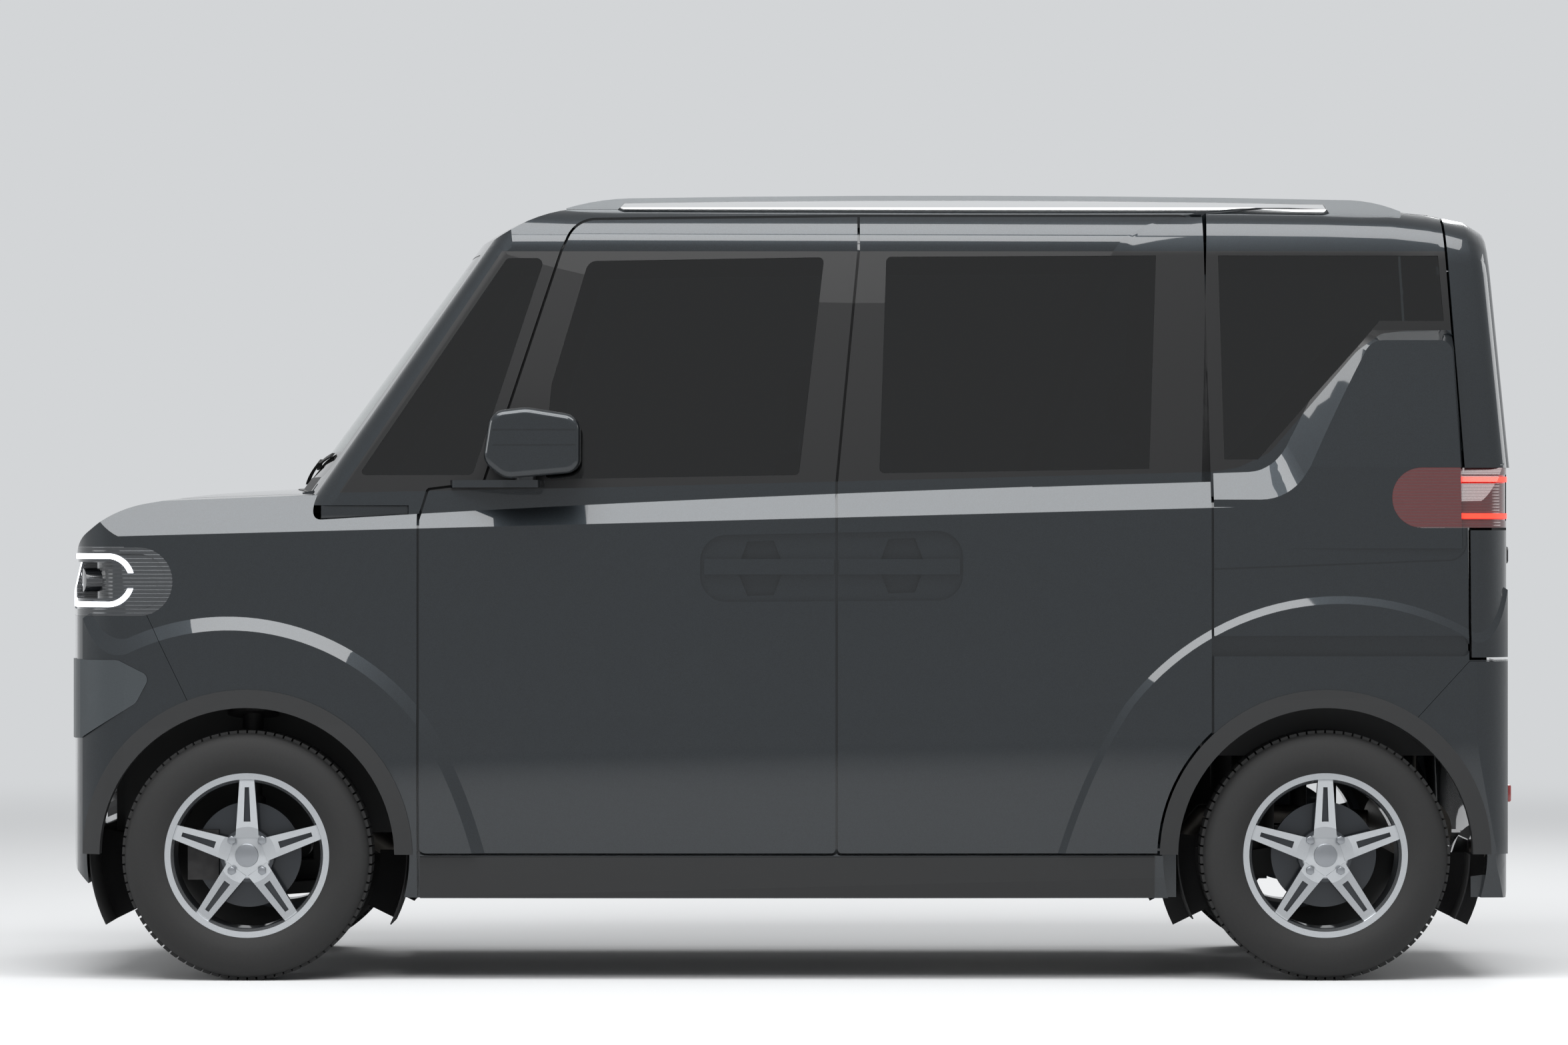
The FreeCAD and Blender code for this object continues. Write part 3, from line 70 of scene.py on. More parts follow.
def linear(code):
    """An sRGB hex colour as the linear values that a shader takes."""
    parts = [int(code[i:i + 2], 16) / 255 for i in (1, 3, 5)]
    return tuple(c / 12.92 if c <= 0.04045 else ((c + 0.055) / 1.055) ** 2.4 for c in parts) + (1.0,)


def feed(tree, target, inputs):
    """Gives a node's inputs, by name or number, a colour code, a number or another's output."""
    for key, value in inputs.items():
        if isinstance(value, bpy.types.NodeSocket):
            tree.links.new(value, target.inputs[key])
        else:
            target.inputs[key].default_value = linear(value) if isinstance(value, str) else value


def material(name, inputs=None):
    """A new material with its node tree and its shader."""
    made = bpy.data.materials.new(name)
    made.use_nodes = True
    tree = made.node_tree
    shader = tree.nodes["Principled BSDF"]
    feed(tree, shader, inputs or {})
    return made, tree, shader


def add(tree, kind, inputs, **settings):
    """The outputs of a new shader node with these inputs and settings."""
    node = tree.nodes.new("ShaderNode" + kind)
    for key, value in settings.items():
        setattr(node, key, value)
    feed(tree, node, inputs)
    return node.outputs


def maths(tree, operation, *values):
    """The result of one sum or comparison on numbers and outputs."""
    return add(tree, "Math", dict(enumerate(values)), operation=operation)[0]


concrete, tree, shader = material("studio floor, matt painted", {
    "Base Color": "#d9dadb", "Roughness": 0.7})
place = add(tree, "TexCoord", {})["Object"]
distance = add(tree, "VectorMath", {0: place}, operation="LENGTH")[1]
far = add(tree, "MapRange", {0: distance, 1: fade_from, 2: fade_to, 3: 0.0, 4: 1.0},
          interpolation_type="SMOOTHSTEP")[0]
haze = add(tree, "Emission", {"Color": surround, "Strength": 1.0})[0]
fade = add(tree, "MixShader", {0: far, 1: shader.outputs[0], 2: haze})[0]
feed(tree, tree.nodes["Material Output"], {"Surface": fade})
bpy.ops.mesh.primitive_plane_add(size=60, location=(0, 0, 0))
floor = bpy.context.active_object
floor.name = "studio_floor"
floor.data.materials.append(concrete)

world = bpy.data.worlds.new("studio surround")
bpy.context.scene.world = world
world.use_nodes = True
tree = world.node_tree
ray = add(tree, "LightPath", {})
seen = maths(tree, "MAXIMUM", ray["Is Camera Ray"], ray["Is Glossy Ray"])
seen = maths(tree, "MAXIMUM", seen, ray["Is Transmission Ray"])
plain = tree.nodes["Background"]
feed(tree, plain, {"Color": "#f2f3f4", "Strength": 0.5})
shown = add(tree, "Background", {"Color": surround, "Strength": 1.0})[0]
mixed = add(tree, "MixShader", {0: seen, 1: plain.outputs[0], 2: shown})[0]
feed(tree, tree.nodes["World Output"], {"Surface": mixed})

for name, place, size, power, aim in (
    ("overhead lamp", (0.0, 2.6, 5.2), (7.0, 2.4), 330, (0, 2.0, 0.6)),
    ("left lamp", (1.0, 6.6, 6.2), (5.0, 2.2), 260, (0, 0, 0.8)),
    ("right lamp", (-1.0, -6.6, 5.2), (5.0, 2.5), 220, (0, 0, 0.8)),
    ("front lamp", (7.5, 1.5, 3.0), (3.0, 2.5), 90, (0, 0, 0.8)),
    ("rear lamp", (-7.5, -1.0, 3.0), (3.0, 2.5), 90, (0, 0, 0.8)),
):
    lamp_data = bpy.data.lights.new(name, "AREA")
    lamp_data.shape = "RECTANGLE"
    lamp_data.size, lamp_data.size_y = size
    lamp_data.energy = power
    lamp = bpy.data.objects.new(name, lamp_data)
    lamp.location = place
    lamp.rotation_euler = (Vector(aim) - Vector(place)).to_track_quat("-Z", "Y").to_euler()
    bpy.context.collection.objects.link(lamp)


# Body panels: pressed steel in dark blue-grey metallic basecoat under a clear lacquer. The flake
# gives a soft tone that varies with the light, and the lacquer a sharp mirror over it.
paint_metal, paint_rough = 0.75, 0.36


def coat(made, *nodes):
    """Gives the surfaces of CAD nodes one material."""
    for node in nodes:
        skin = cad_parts[node].data
        skin.materials.clear()
        skin.materials.append(made)


def texture(tree, kind, grain, inputs=None, **settings):
    """The outputs of a texture laid in the car's own space, with its grain in millimetres."""
    laid = {"Vector": add(tree, "TexCoord", {})["Object"], "Scale": 1000 / grain}
    return add(tree, "Tex" + kind, {**laid, **(inputs or {})}, **settings)


def blend(tree, share, first, second):
    """A colour between two others."""
    return add(tree, "Mix", {0: share, 6: first, 7: second}, data_type="RGBA")[2]


def paint_over(tree, shader):
    """Metallic paint: sets the lacquer, and gives the flake's fine change of tone."""
    feed(tree, shader, {"Metallic": paint_metal, "Roughness": paint_rough, "Coat Weight": 1.0,
                        "Coat Roughness": 0.02, "Coat IOR": 1.5})
    return blend(tree, texture(tree, "Voronoi", 1.2)["Color"], "#11161a", "#1d2429")


body_paint, tree, shader = material("metallic basecoat under clear lacquer")
feed(tree, shader, {"Base Color": paint_over(tree, shader)})
coat(body_paint, "front_wings", "bonnet", "front_bumper", "rear_bumper", "mirror_left", "mirror_right")


# The same pressings have a lining on their cabin side: felt under the roof, and grained plastic on
# the doors, pillars and tailgate. It lies on every face that looks inwards.
def along(tree, axis, of="Object"):
    """One coordinate of a surface's place, or of its normal."""
    return add(tree, "SeparateXYZ", {0: add(tree, "TexCoord", {})[of]})[axis]


def between(tree, share, first, last):
    """A value between two others, by a share from 0 to 1."""
    return add(tree, "MapRange", {0: share, 1: 0.0, 2: 1.0, 3: first, 4: last})[0]


def lined(tree, shader, tone, axis, level, lining):
    """Turns paint into a matt lining where a face looks towards the cabin along one axis."""
    facing = along(tree, axis, "Normal")
    if axis == "Y":
        facing = maths(tree, "MULTIPLY", facing, maths(tree, "SIGN", along(tree, "Y")))
    inner = maths(tree, "LESS_THAN" if level < 0 else "GREATER_THAN", facing, level)
    feed(tree, shader, {"Base Color": blend(tree, inner, tone, lining),
                        "Roughness": between(tree, inner, paint_rough, 0.85)})
    return inner


for node, axis, level, lining in (("roof_panel", "Z", -0.3, "#8d8c88"),
                                  ("tailgate", "X", 0.5, "#2a2b2d")):
    panel_paint, tree, shader = material(f"metallic basecoat, lined inside, {node}")
    inner = lined(tree, shader, paint_over(tree, shader), axis, level, lining)
    feed(tree, shader, {"Metallic": maths(tree, "MULTIPLY_ADD", inner, -paint_metal, paint_metal)})
    coat(panel_paint, node)

# The window band: between belt and drip line the pillars and door frames are gloss black, so the
# glass reads as one band. It is painted on the same pressings, along the belt and the quarter pad.
belt_line = [(-1.6, 1.507), (-1.541, 1.507), (-1.43, 1.505), (-1.375, 1.497), (-1.32, 1.458),
             (-1.118, 1.222), (-1.044, 1.187), (-0.983, 1.177), (0.436, 1.141), (1.09, 1.128)]
band_rear, band_front, band_base, drip_line = -1.6, 1.1, 1.0, 1.6905
pillar_lean, pillar_foot = 0.6673, 1.7904
band_paint, tree, shader = material("metallic basecoat with gloss black window band")
x, z = along(tree, "X"), along(tree, "Z")
share = add(tree, "MapRange", {0: x, 1: band_rear, 2: band_front, 3: 0.0, 4: 1.0})[0]
belt = add(tree, "FloatCurve", {"Value": share})[0]
marks = [((at - band_rear) / (band_front - band_rear), high - band_base) for at, high in belt_line]
points = belt.node.mapping.curves[0].points
points[0].location, points[1].location = marks[0], marks[-1]
for mark in marks[1:-1]:
    points.new(*mark)
for point in points:
    point.handle_type = "VECTOR"
belt.node.mapping.update()
above = maths(tree, "GREATER_THAN", maths(tree, "SUBTRACT", z, belt), band_base)
below = maths(tree, "LESS_THAN", z, drip_line)
pillar = maths(tree, "MULTIPLY_ADD", z, pillar_lean, -pillar_foot)
behind = maths(tree, "LESS_THAN", maths(tree, "ADD", pillar, x), 0.0)
band = maths(tree, "MULTIPLY", maths(tree, "MULTIPLY", above, below), behind)
tinted = blend(tree, band, paint_over(tree, shader), "#060607")
inner = lined(tree, shader, tinted, "Y", -0.4, "#2b2c2e")
bare = maths(tree, "MAXIMUM", band, inner)
feed(tree, shader, {"Metallic": maths(tree, "MULTIPLY_ADD", bare, -paint_metal, paint_metal),
                    "Coat Weight": maths(tree, "SUBTRACT", 1.0, bare)})
coat(band_paint, "front_door_left", "front_door_right", "slide_doors", "side_frames")


# Glass: privacy-tinted side and rear panes that read black from outside, and a clear laminated
# windscreen with a faint green edge. Float glass is smooth, so the gloss is sharp.
float_glass = {"Roughness": 0.01, "IOR": 1.5}
border_foot, border_top, border_side, border_lean = 1.222, 1.652, 0.668, 0.0846
wire_spacing, wire_width, wires_middle, wires_reach = 0.028, 0.0008, 1.45, 0.165
privacy = material("privacy tinted float glass", {
    "Base Color": "#2a2f31", "Transmission Weight": 1.0, **float_glass})[0]
coat(privacy, "side_glass", "front_glass_left", "front_glass_right")
clear, tree, shader = material("laminated windscreen glass, with a fired black border", float_glass)
z = along(tree, "Z")
reach = maths(tree, "MULTIPLY_ADD", z, border_lean, maths(tree, "ABSOLUTE", along(tree, "Y")))
sides = maths(tree, "GREATER_THAN", reach, border_side)
foot = maths(tree, "LESS_THAN", z, border_foot)
top = maths(tree, "GREATER_THAN", z, border_top)
fired = maths(tree, "MAXIMUM", maths(tree, "MAXIMUM", sides, foot), top)
feed(tree, shader, {"Base Color": blend(tree, fired, "#a9b8b4", "#070707"),
                    "Transmission Weight": maths(tree, "SUBTRACT", 1.0, fired)})
coat(clear, "windscreen")
heated, tree, shader = material("privacy tinted glass with fine heater lines", float_glass)
z = along(tree, "Z")
wire = maths(tree, "LESS_THAN", maths(tree, "PINGPONG", z, wire_spacing / 2), wire_width)
wire = maths(tree, "MULTIPLY", wire, maths(tree, "COMPARE", z, wires_middle, wires_reach))
feed(tree, shader, {"Base Color": blend(tree, wire, "#2a2f31", "#6b5a48"),
                    "Transmission Weight": maths(tree, "SUBTRACT", 1.0, wire)})
coat(heated, "tailgate_glass")


# Unpainted plastic: the arch and sill cladding, moulded in black with a fine matt grain that hides
# scratches, and the grille in gloss black.
def bumped(tree, shader, height, strength, depth):
    """Fine relief on a finish, with its depth in metres."""
    relief = add(tree, "Bump", {"Strength": strength, "Distance": depth, "Height": height})[0]
    feed(tree, shader, {"Normal": relief})


grained, tree, shader = material("moulded polypropylene, grained", {
    "Base Color": "#191a1b", "Roughness": 0.62})
bumped(tree, shader, texture(tree, "Noise", 2.0, {"Detail": 3.0})[0], 0.25, 0.0004)
coat(grained, "cladding")
gloss_black = material("ABS in gloss black", {
    "Base Color": "#0b0c0d", "Roughness": 0.12, "Coat Weight": 0.6})[0]
coat(gloss_black, "grille")


# Front lamps: a smoked acrylic lens over a dark housing, with fine ribs moulded on its inside, and a
# lit light guide that runs round it.
def ribs(tree, shader, axis, pitch, depth):
    """Fine moulded ribs across one axis."""
    turn = maths(tree, "MULTIPLY", along(tree, axis), 2 * math.pi / pitch)
    bumped(tree, shader, maths(tree, "SINE", turn), 0.6, depth)


lens, tree, shader = material("smoked acrylic lens, ribbed inside", {
    "Base Color": "#2b2e31", "Metallic": 0.35, "Roughness": 0.16, "Coat Weight": 1.0,
    "Coat Roughness": 0.01})
ribs(tree, shader, "Z", 0.009, 0.0008)
coat(lens, "headlamps")
lit = material("light guide, lit white", {
    "Base Color": "#f4f7ff", "Roughness": 0.3, "Emission Color": "#f4f8ff",
    "Emission Strength": 3.0})[0]
coat(lit, "daytime_lights")

# Rear lamps: a dark red acrylic lens with fine level ribs, and a red light guide in a U on its side.
# Each is let into the rear corner of the body, above the shut line of the bumper.
red_lens, tree, shader = material("dark red acrylic lens, ribbed", {
    "Base Color": "#4a1113", "Roughness": 0.12, "Coat Weight": 1.0, "Coat Roughness": 0.01})
ribs(tree, shader, "Z", 0.007, 0.0008)
coat(red_lens, "tail_lamps")
lit_red = material("light guide, lit red", {
    "Base Color": "#ff3a2c", "Roughness": 0.3, "Emission Color": "#ff2416",
    "Emission Strength": 3.2})[0]
coat(lit_red, "tail_light_bars")


# Bright trim: the roof rails are painted satin silver. The garnish on the bumper corners is satin
# silver too, but it is given a much darker satin grey that stands for the shade it lies in: painted
# shade.
def hazed(name, grain, first, last, inputs):
    """A material whose roughness drifts between two values."""
    made, tree, shader = material(name, inputs)
    cloud = texture(tree, "Noise", grain)[0]
    feed(tree, shader, {"Roughness": between(tree, cloud, first, last)})
    return made


def drift(tree, dark, light, grain, detail=4.0):
    """A colour that drifts between two tones."""
    return blend(tree, texture(tree, "Noise", grain, {"Detail": detail})[0], dark, light)


def mottled(name, dark, light, grain, inputs, detail=4.0):
    """A material whose colour drifts between two tones."""
    made, tree, shader = material(name, inputs)
    feed(tree, shader, {"Base Color": drift(tree, dark, light, grain, detail)})
    return made


silver = hazed("satin silver paint", 3.0, 0.30, 0.42, {
    "Base Color": "#a3a6a8", "Metallic": 0.9, "Coat Weight": 0.4})
coat(silver, "roof_rails")
# The garnish is silver; this dark grey is painted shade, not the trim's own colour.
shaded_silver = mottled("satin graphite paint", "#3f4346", "#4c5154", 2.0, {
    "Metallic": 0.6, "Roughness": 0.38}, 2.0)
coat(shaded_silver, "bumper_garnish")


# Tyres: low-profile rubber on 15 inch rims. Each drum is cut into five ribs of blocks, then raised
# by the tread's depth, and the sidewalls run in to the beads. One is made, and copied to each axle.
axles = {"front": 1.25, "rear": -1.245}
track_half, wheel_z = 0.640, 0.2895
wheels = [(f"{end}_{side}", x, sign) for end, x in axles.items()
          for side, sign in (("left", 1), ("right", -1))]
drum_radius, drum_half, tread_radius, groove_half = 0.2825, 0.0585, 0.2893, 0.0023
rib_edges = (-0.036, -0.0125, 0.0125, 0.036)
sidewall = ((0.2765, 0.0700), (0.2640, 0.0780), (0.2450, 0.0815), (0.2285, 0.0825),
            (0.2120, 0.0795), (0.1990, 0.0730), (0.1912, 0.0690), (0.1912, 0.0600))


def choose(*pieces):
    """Selects these pieces alone, with the first as the active one."""
    bpy.ops.object.select_all(action="DESELECT")
    for piece in pieces:
        piece.select_set(True)
    bpy.context.view_layer.objects.active = pieces[0]


def edit(piece):
    """Enters edit mode on one piece alone, and gives its working mesh."""
    choose(piece)
    bpy.ops.object.mode_set(mode="EDIT")
    bpy.ops.mesh.select_mode(type="FACE")
    bpy.ops.mesh.select_all(action="DESELECT")
    return bmesh.from_edit_mesh(piece.data)


def pick(mesh, part, wanted):
    """Selects the parts of a mesh being edited that the test accepts."""
    for one in getattr(mesh, part):
        one.select_set(bool(wanted(one)))
    mesh.select_flush_mode()


def settle(piece, angle=40.0, *mods):
    """Leaves edit mode, applies modifiers, puts the origin at the world's and smooths by angle."""
    if piece.mode == "EDIT":
        bpy.ops.object.mode_set(mode="OBJECT")
    choose(piece)
    bpy.ops.object.transform_apply(location=True, rotation=True, scale=True)
    for kind, values in mods:
        extra = piece.modifiers.new(kind.lower(), kind)
        for key, value in values.items():
            setattr(extra, key, value)
        bpy.ops.object.modifier_apply(modifier=extra.name)
    bpy.ops.object.shade_smooth_by_angle(angle=math.radians(angle))
    piece.select_set(False)
    return piece


def copy_to(piece, name, matrix):
    """A copy with its own mesh, moved by a matrix in its mesh."""
    other = piece.copy()
    other.data = piece.data.copy()
    other.name = name
    other.data.transform(matrix)
    if matrix.determinant() < 0:
        other.data.flip_normals()
    bpy.context.collection.objects.link(other)
    return other


def dress(piece, body, made=None, instead_of=None):
    """Gives a piece its material and its body, and hides the CAD node that it stands in for."""
    if made:
        piece.data.materials.append(made)
    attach(piece, body)
    if instead_of:
        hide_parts(instead_of)


rubber = mottled("tyre rubber, moulded", "#131313", "#1e1e1e", 4.0, {"Roughness": 0.78})
bpy.ops.mesh.primitive_cylinder_add(
    vertices=84, radius=drum_radius, depth=2 * drum_half, end_fill_type="NOTHING",
    rotation=(math.radians(90), 0, 0))
tyre = bpy.context.active_object
bpy.ops.object.transform_apply(location=True, rotation=True, scale=True)
edit(tyre)
for y in rib_edges:
    bpy.ops.mesh.select_all(action="SELECT")
    bpy.ops.mesh.bisect(plane_co=(0, y, 0), plane_no=(0, 1, 0))
bpy.ops.mesh.select_all(action="SELECT")
bpy.ops.mesh.inset(thickness=groove_half, depth=0, use_individual=True, use_boundary=True)
bpy.ops.mesh.extrude_region_shrink_fatten(TRANSFORM_OT_shrink_fatten={"value": -0.007})
mesh = bmesh.from_edit_mesh(tyre.data)
for vert in mesh.verts:
    if vert.select:
        vert.co.xz *= tread_radius / vert.co.xz.length
for side in (-1, 1):
    bpy.ops.mesh.select_mode(type="EDGE")
    bpy.ops.mesh.select_all(action="DESELECT")
    pick(bmesh.from_edit_mesh(tyre.data), "edges",
         lambda e: e.is_boundary and all(v.co.y * side > 0.058 for v in e.verts))
    radius, y = drum_radius, drum_half
    for to_radius, to_y in sidewall:
        bpy.ops.mesh.extrude_edges_move(TRANSFORM_OT_translate={"value": (0, (to_y - y) * side, 0)})
        bpy.ops.transform.resize(value=(to_radius / radius, 1, to_radius / radius),
                                 center_override=(0, to_y * side, 0))
        radius, y = to_radius, to_y
bpy.ops.mesh.select_all(action="SELECT")
bpy.ops.mesh.normals_make_consistent(inside=False)
settle(tyre, 34.0)
for which, x, sign in wheels:
    made = copy_to(tyre, f"tyre_{which}_rubber", Matrix.Translation((x, track_half * sign, wheel_z)))
    dress(made, f"wheel_{which}", rubber, instead_of=f"tyre_{which}")
bpy.data.objects.remove(tyre)

# Rims: cast alloy. The faces of the spokes and the lip are machined bright, and the rest is painted
# dark grey. The outermost few millimetres are the machined ones.
alloy, tree, shader = material("cast alloy, machined face and painted pockets", {
    "Metallic": 0.9, "Coat Weight": 0.5})
machined_from, machined_full = 0.6955, 0.6965
out = maths(tree, "ABSOLUTE", along(tree, "Y"))
face = add(tree, "MapRange", {0: out, 1: machined_from, 2: machined_full, 3: 0.0, 4: 1.0})[0]
feed(tree, shader, {"Base Color": blend(tree, face, "#33363a", "#b4b7ba"),
                    "Roughness": between(tree, face, 0.45, 0.26)})
coat(alloy, *(f"rim_{which}" for which, x, sign in wheels))


# Wheel nuts and centre cap: four tapered hex nuts on a 100 mm circle, and a plain pressed cap. They
# are zinc plated, and the nuts hold the rim on its hub.
def join(parts):
    """Joins parts into the first."""
    choose(*parts)
    bpy.ops.object.join()
    return parts[0]


nut_circle_radius = 0.050
zinc = hazed("zinc plated steel", 5.0, 0.25, 0.4, {"Base Color": "#8f9296", "Metallic": 1.0})
parts = []
for turn in (45, 135, 225, 315):
    angle = math.radians(turn)
    spot = (nut_circle_radius * math.cos(angle), 0.0620, nut_circle_radius * math.sin(angle))
    bpy.ops.mesh.primitive_cylinder_add(vertices=6, radius=0.0105, depth=0.016, location=spot,
                                        rotation=(math.radians(90), 0, 0))
    parts.append(bpy.context.active_object)
bpy.ops.mesh.primitive_cylinder_add(vertices=48, radius=0.027, depth=0.012,
                                    location=(0, 0.0660, 0), rotation=(math.radians(90), 0, 0))
parts.append(bpy.context.active_object)
nuts = settle(join(parts), 30.0, ("BEVEL", {"width": 0.002, "segments": 2}))
for which, x, sign in wheels:
    turned = Matrix.Identity(4) if sign > 0 else Matrix.Rotation(math.pi, 4, "Z")
    made = copy_to(nuts, f"wheel_nuts_{which}",
                   Matrix.Translation((x, track_half * sign, wheel_z)) @ turned)
    dress(made, f"wheel_{which}", zinc)
bpy.data.objects.remove(nuts)


# Chassis: bulkhead, cross-member and beam axle in satin black, a carpet on the welded floor, cast
# knuckles and engine, and a dull steel exhaust. Nothing is polished; dust makes the tone uneven.
floor_top = 0.345
coat(mottled("satin black chassis paint", "#0e0f0f", "#1d1d1d", 50, {"Roughness": 0.55}),
     "bulkhead", "front_subframe", "rear_axle")
carpet, tree, shader = material("needle felt carpet over a painted floor")
level = maths(tree, "GREATER_THAN", along(tree, "Z", "Normal"), 0.5)
laid = maths(tree, "MULTIPLY", level, maths(tree, "GREATER_THAN", along(tree, "Z"), floor_top))
painted = drift(tree, "#101011", "#1c1c1d", 50)
feed(tree, shader, {
    "Base Color": blend(tree, laid, painted, drift(tree, "#232426", "#4a4b4e", 2.0, 6.0)),
    "Roughness": between(tree, laid, 0.55, 0.97)})
coat(carpet, "floor_pan")
coat(mottled("cast iron, as cast", "#2d2d2e", "#454444", 20, {"Metallic": 0.8, "Roughness": 0.62}),
     "upright_left", "upright_right", "engine_block")
coat(mottled("dull steel pipe", "#5d5955", "#86827c", 60, {"Metallic": 0.9, "Roughness": 0.5}),
     "exhaust_and_tank")

# Cabin: the dashboard and the rim of the steering wheel are moulded in soft plastic with a leather
# grain. The screen and the vents are fitted to the dashboard further down.
dash, tree, shader = material("thermoplastic olefin, soft grain", {
    "Base Color": "#262728", "Roughness": 0.6})
bumped(tree, shader, texture(tree, "Voronoi", 2.5)["Distance"], 0.3, 0.0005)
coat(dash, "dashboard", "steering_wheel")

# Wipers: sprung steel arms with a rubber blade, bolted to the cowl and to the tailgate. The steel is
# painted matt black.
coat(mottled("matt black powder coat", "#0d0d0d", "#171717", 10, {"Roughness": 0.6}),
     "wipers", "tailgate_wiper")

# Seats: two front seats and a bench, each a foam pad in woven cloth on a steel base, with side
# bolsters sewn off by long seams. The foam swells between the seams, which pull it in.
seat_x, bench_x, seat_y = 0.560, -0.230, 0.330
bolster_share, pad_round, stuffed_frames = 0.58, 0.032, 20
weave, tree, shader = material("woven seat cloth, flat weave", {
    "Roughness": 0.92, "Sheen Weight": 0.25, "Sheen Roughness": 0.5})
thread = {"Distortion": 1.2, "Detail": 2.0}
warp = texture(tree, "Wave", 3.2 * 6.28, thread, bands_direction="Y")["Fac"]
weft = texture(tree, "Wave", 4.0 * 6.28, thread, bands_direction="DIAGONAL")["Fac"]
cross = maths(tree, "MULTIPLY", warp, weft)
feed(tree, shader, {"Base Color": blend(tree, cross, "#1e1f21", "#46484b")})
bumped(tree, shader, cross, 0.5, 0.0006)


def upholstered(piece):
    """Fixes a pad to the body shell."""
    dress(piece, "body_shell")


def pad(name, corners, half_width, cell, seams, bolster=None, cap=0.014):
    """A foam pad from its four side-view corners: a rounded block with raised bolsters, meshed in
    even cells, and swollen by pressure everywhere but along its seams."""
    bpy.ops.mesh.primitive_cube_add(size=2, location=(0, 0, 0))
    piece = bpy.context.active_object
    piece.name = name
    low_back, low_front, high_front, high_back = corners
    mesh = edit(piece)
    for vert in mesh.verts:
        front, high = vert.co.x > 0, vert.co.z > 0
        x, z = {(True, False): low_front, (True, True): high_front,
                (False, True): high_back, (False, False): low_back}[front, high]
        vert.co = (x, vert.co.y * half_width, z)
    for y in (-bolster_share * half_width, bolster_share * half_width):
        bpy.ops.mesh.select_all(action="SELECT")
        bpy.ops.mesh.bisect(plane_co=(0, y, 0), plane_no=(0, 1, 0))
    if bolster:
        rise, raised = bolster
        mesh = bmesh.from_edit_mesh(piece.data)
        for vert in mesh.verts:
            near = min((vert.co.xz - Vector(corner)).length for corner in raised) < 0.002
            if near and abs(vert.co.y) > 0.9 * half_width:
                vert.co += Vector(rise)
    bpy.ops.mesh.select_all(action="SELECT")
    bpy.ops.mesh.bevel(offset=pad_round, segments=3, affect="EDGES")
    settle(piece, 60.0, ("REMESH", {"mode": "VOXEL", "voxel_size": cell, "use_smooth_shade": True}))
    rest = [v.co.copy() for v in piece.data.vertices]
    sewn = piece.vertex_groups.new(name="sewn")
    sewn.add([v.index for v in piece.data.vertices if any(
        abs(getattr(v.co, axis) - seam) < cell * 0.8
        and (axis == "y" or abs(v.co.y) < half_width * 0.6) for axis, seam in seams)],
        1.0, "REPLACE")
    stuffing = piece.modifiers.new("stuffing", "CLOTH")
    stuffing.settings.use_pressure = True
    stuffing.settings.uniform_pressure_force = 4.0
    stuffing.settings.effector_weights.gravity = 0.0
    stuffing.settings.vertex_group_mass = "sewn"
    stuffing.point_cache.frame_start = 1
    stuffing.point_cache.frame_end = stuffed_frames
    for step in range(1, stuffed_frames + 1):
        bpy.context.scene.frame_set(step)
    choose(piece)
    bpy.ops.object.modifier_apply(modifier="stuffing")
    for vert, was in zip(piece.data.vertices, rest):
        move = vert.co - was
        if move.length > cap:
            vert.co = was + move * (cap / move.length)
    bpy.context.scene.frame_set(1)
    settle(piece, 60.0, ("SUBSURF", {"levels": 1, "render_levels": 1}))
    for face in piece.data.polygons:
        face.use_smooth = True
    piece.data.materials.append(weave)
    upholstered(piece)
    return piece


def cushion_corners(x, rise=0.0):
    """The side view of a seat's cushion."""
    return [(x - 0.466, 0.606), (x - 0.012, 0.612), (x - 0.010, 0.690 + rise),
            (x - 0.444, 0.668 + rise)]


def back_corners(x):
    """The side view of a seat's backrest."""
    return [(x - 0.536, 0.630), (x - 0.446, 0.650), (x - 0.556, 1.226), (x - 0.628, 1.226)]


shape = cushion_corners(seat_x)
cushion = pad("seat_cushion_left", shape, 0.236, 0.011, [
    ("y", -0.137), ("y", 0.137), ("x", seat_x - 0.165), ("x", seat_x - 0.300)],
    ((0, 0, 0.022), shape[2:]))
shape = back_corners(seat_x)
backrest = pad("seat_back_left", shape, 0.228, 0.011, [
    ("y", -0.132), ("y", 0.132), ("z", 0.830), ("z", 0.960), ("z", 1.090)],
    ((0.024, 0, 0), shape[1:3]))
head = pad("seat_head_left", [(seat_x - 0.640, 1.272), (seat_x - 0.556, 1.272),
                              (seat_x - 0.570, 1.430), (seat_x - 0.642, 1.430)],
           0.115, 0.009, [], cap=0.010)
for piece in (cushion, backrest, head):
    upholstered(copy_to(piece, piece.name.replace("left", "right"),
                        Matrix.Translation((0, -seat_y, 0))))
    piece.data.transform(Matrix.Translation((0, seat_y, 0)))
thirds = [("y", 0.0), ("y", -0.33), ("y", 0.33)]
pad("bench_cushion", cushion_corners(bench_x, 0.006), 0.576, 0.014,
    thirds + [("x", bench_x - 0.180)])
pad("bench_back", back_corners(bench_x), 0.570, 0.014, thirds + [("z", 0.860), ("z", 1.050)])
for side, y in (("left", seat_y), ("right", -seat_y)):
    upholstered(copy_to(head, f"bench_head_{side}",
                        Matrix.Translation((bench_x - seat_x, y - seat_y, 0))))


# Seat bases and headrest stalks: pressed steel boxes on the floor, painted black, with a plastic
# shield at each side, and chromed stalks.
def block(low, high, round_by=0.004, segments=2):
    """A block between two corners, with every edge rounded in edit mode."""
    middle = (Vector(low) + Vector(high)) / 2
    bpy.ops.mesh.primitive_cube_add(size=1, location=middle,
                                    scale=Vector(high) - Vector(low))
    piece = bpy.context.active_object
    bpy.ops.object.transform_apply(location=True, rotation=True, scale=True)
    edit(piece)
    bpy.ops.mesh.select_all(action="SELECT")
    bpy.ops.mesh.bevel(offset=round_by, segments=segments, affect="EDGES")
    bpy.ops.object.mode_set(mode="OBJECT")
    return piece


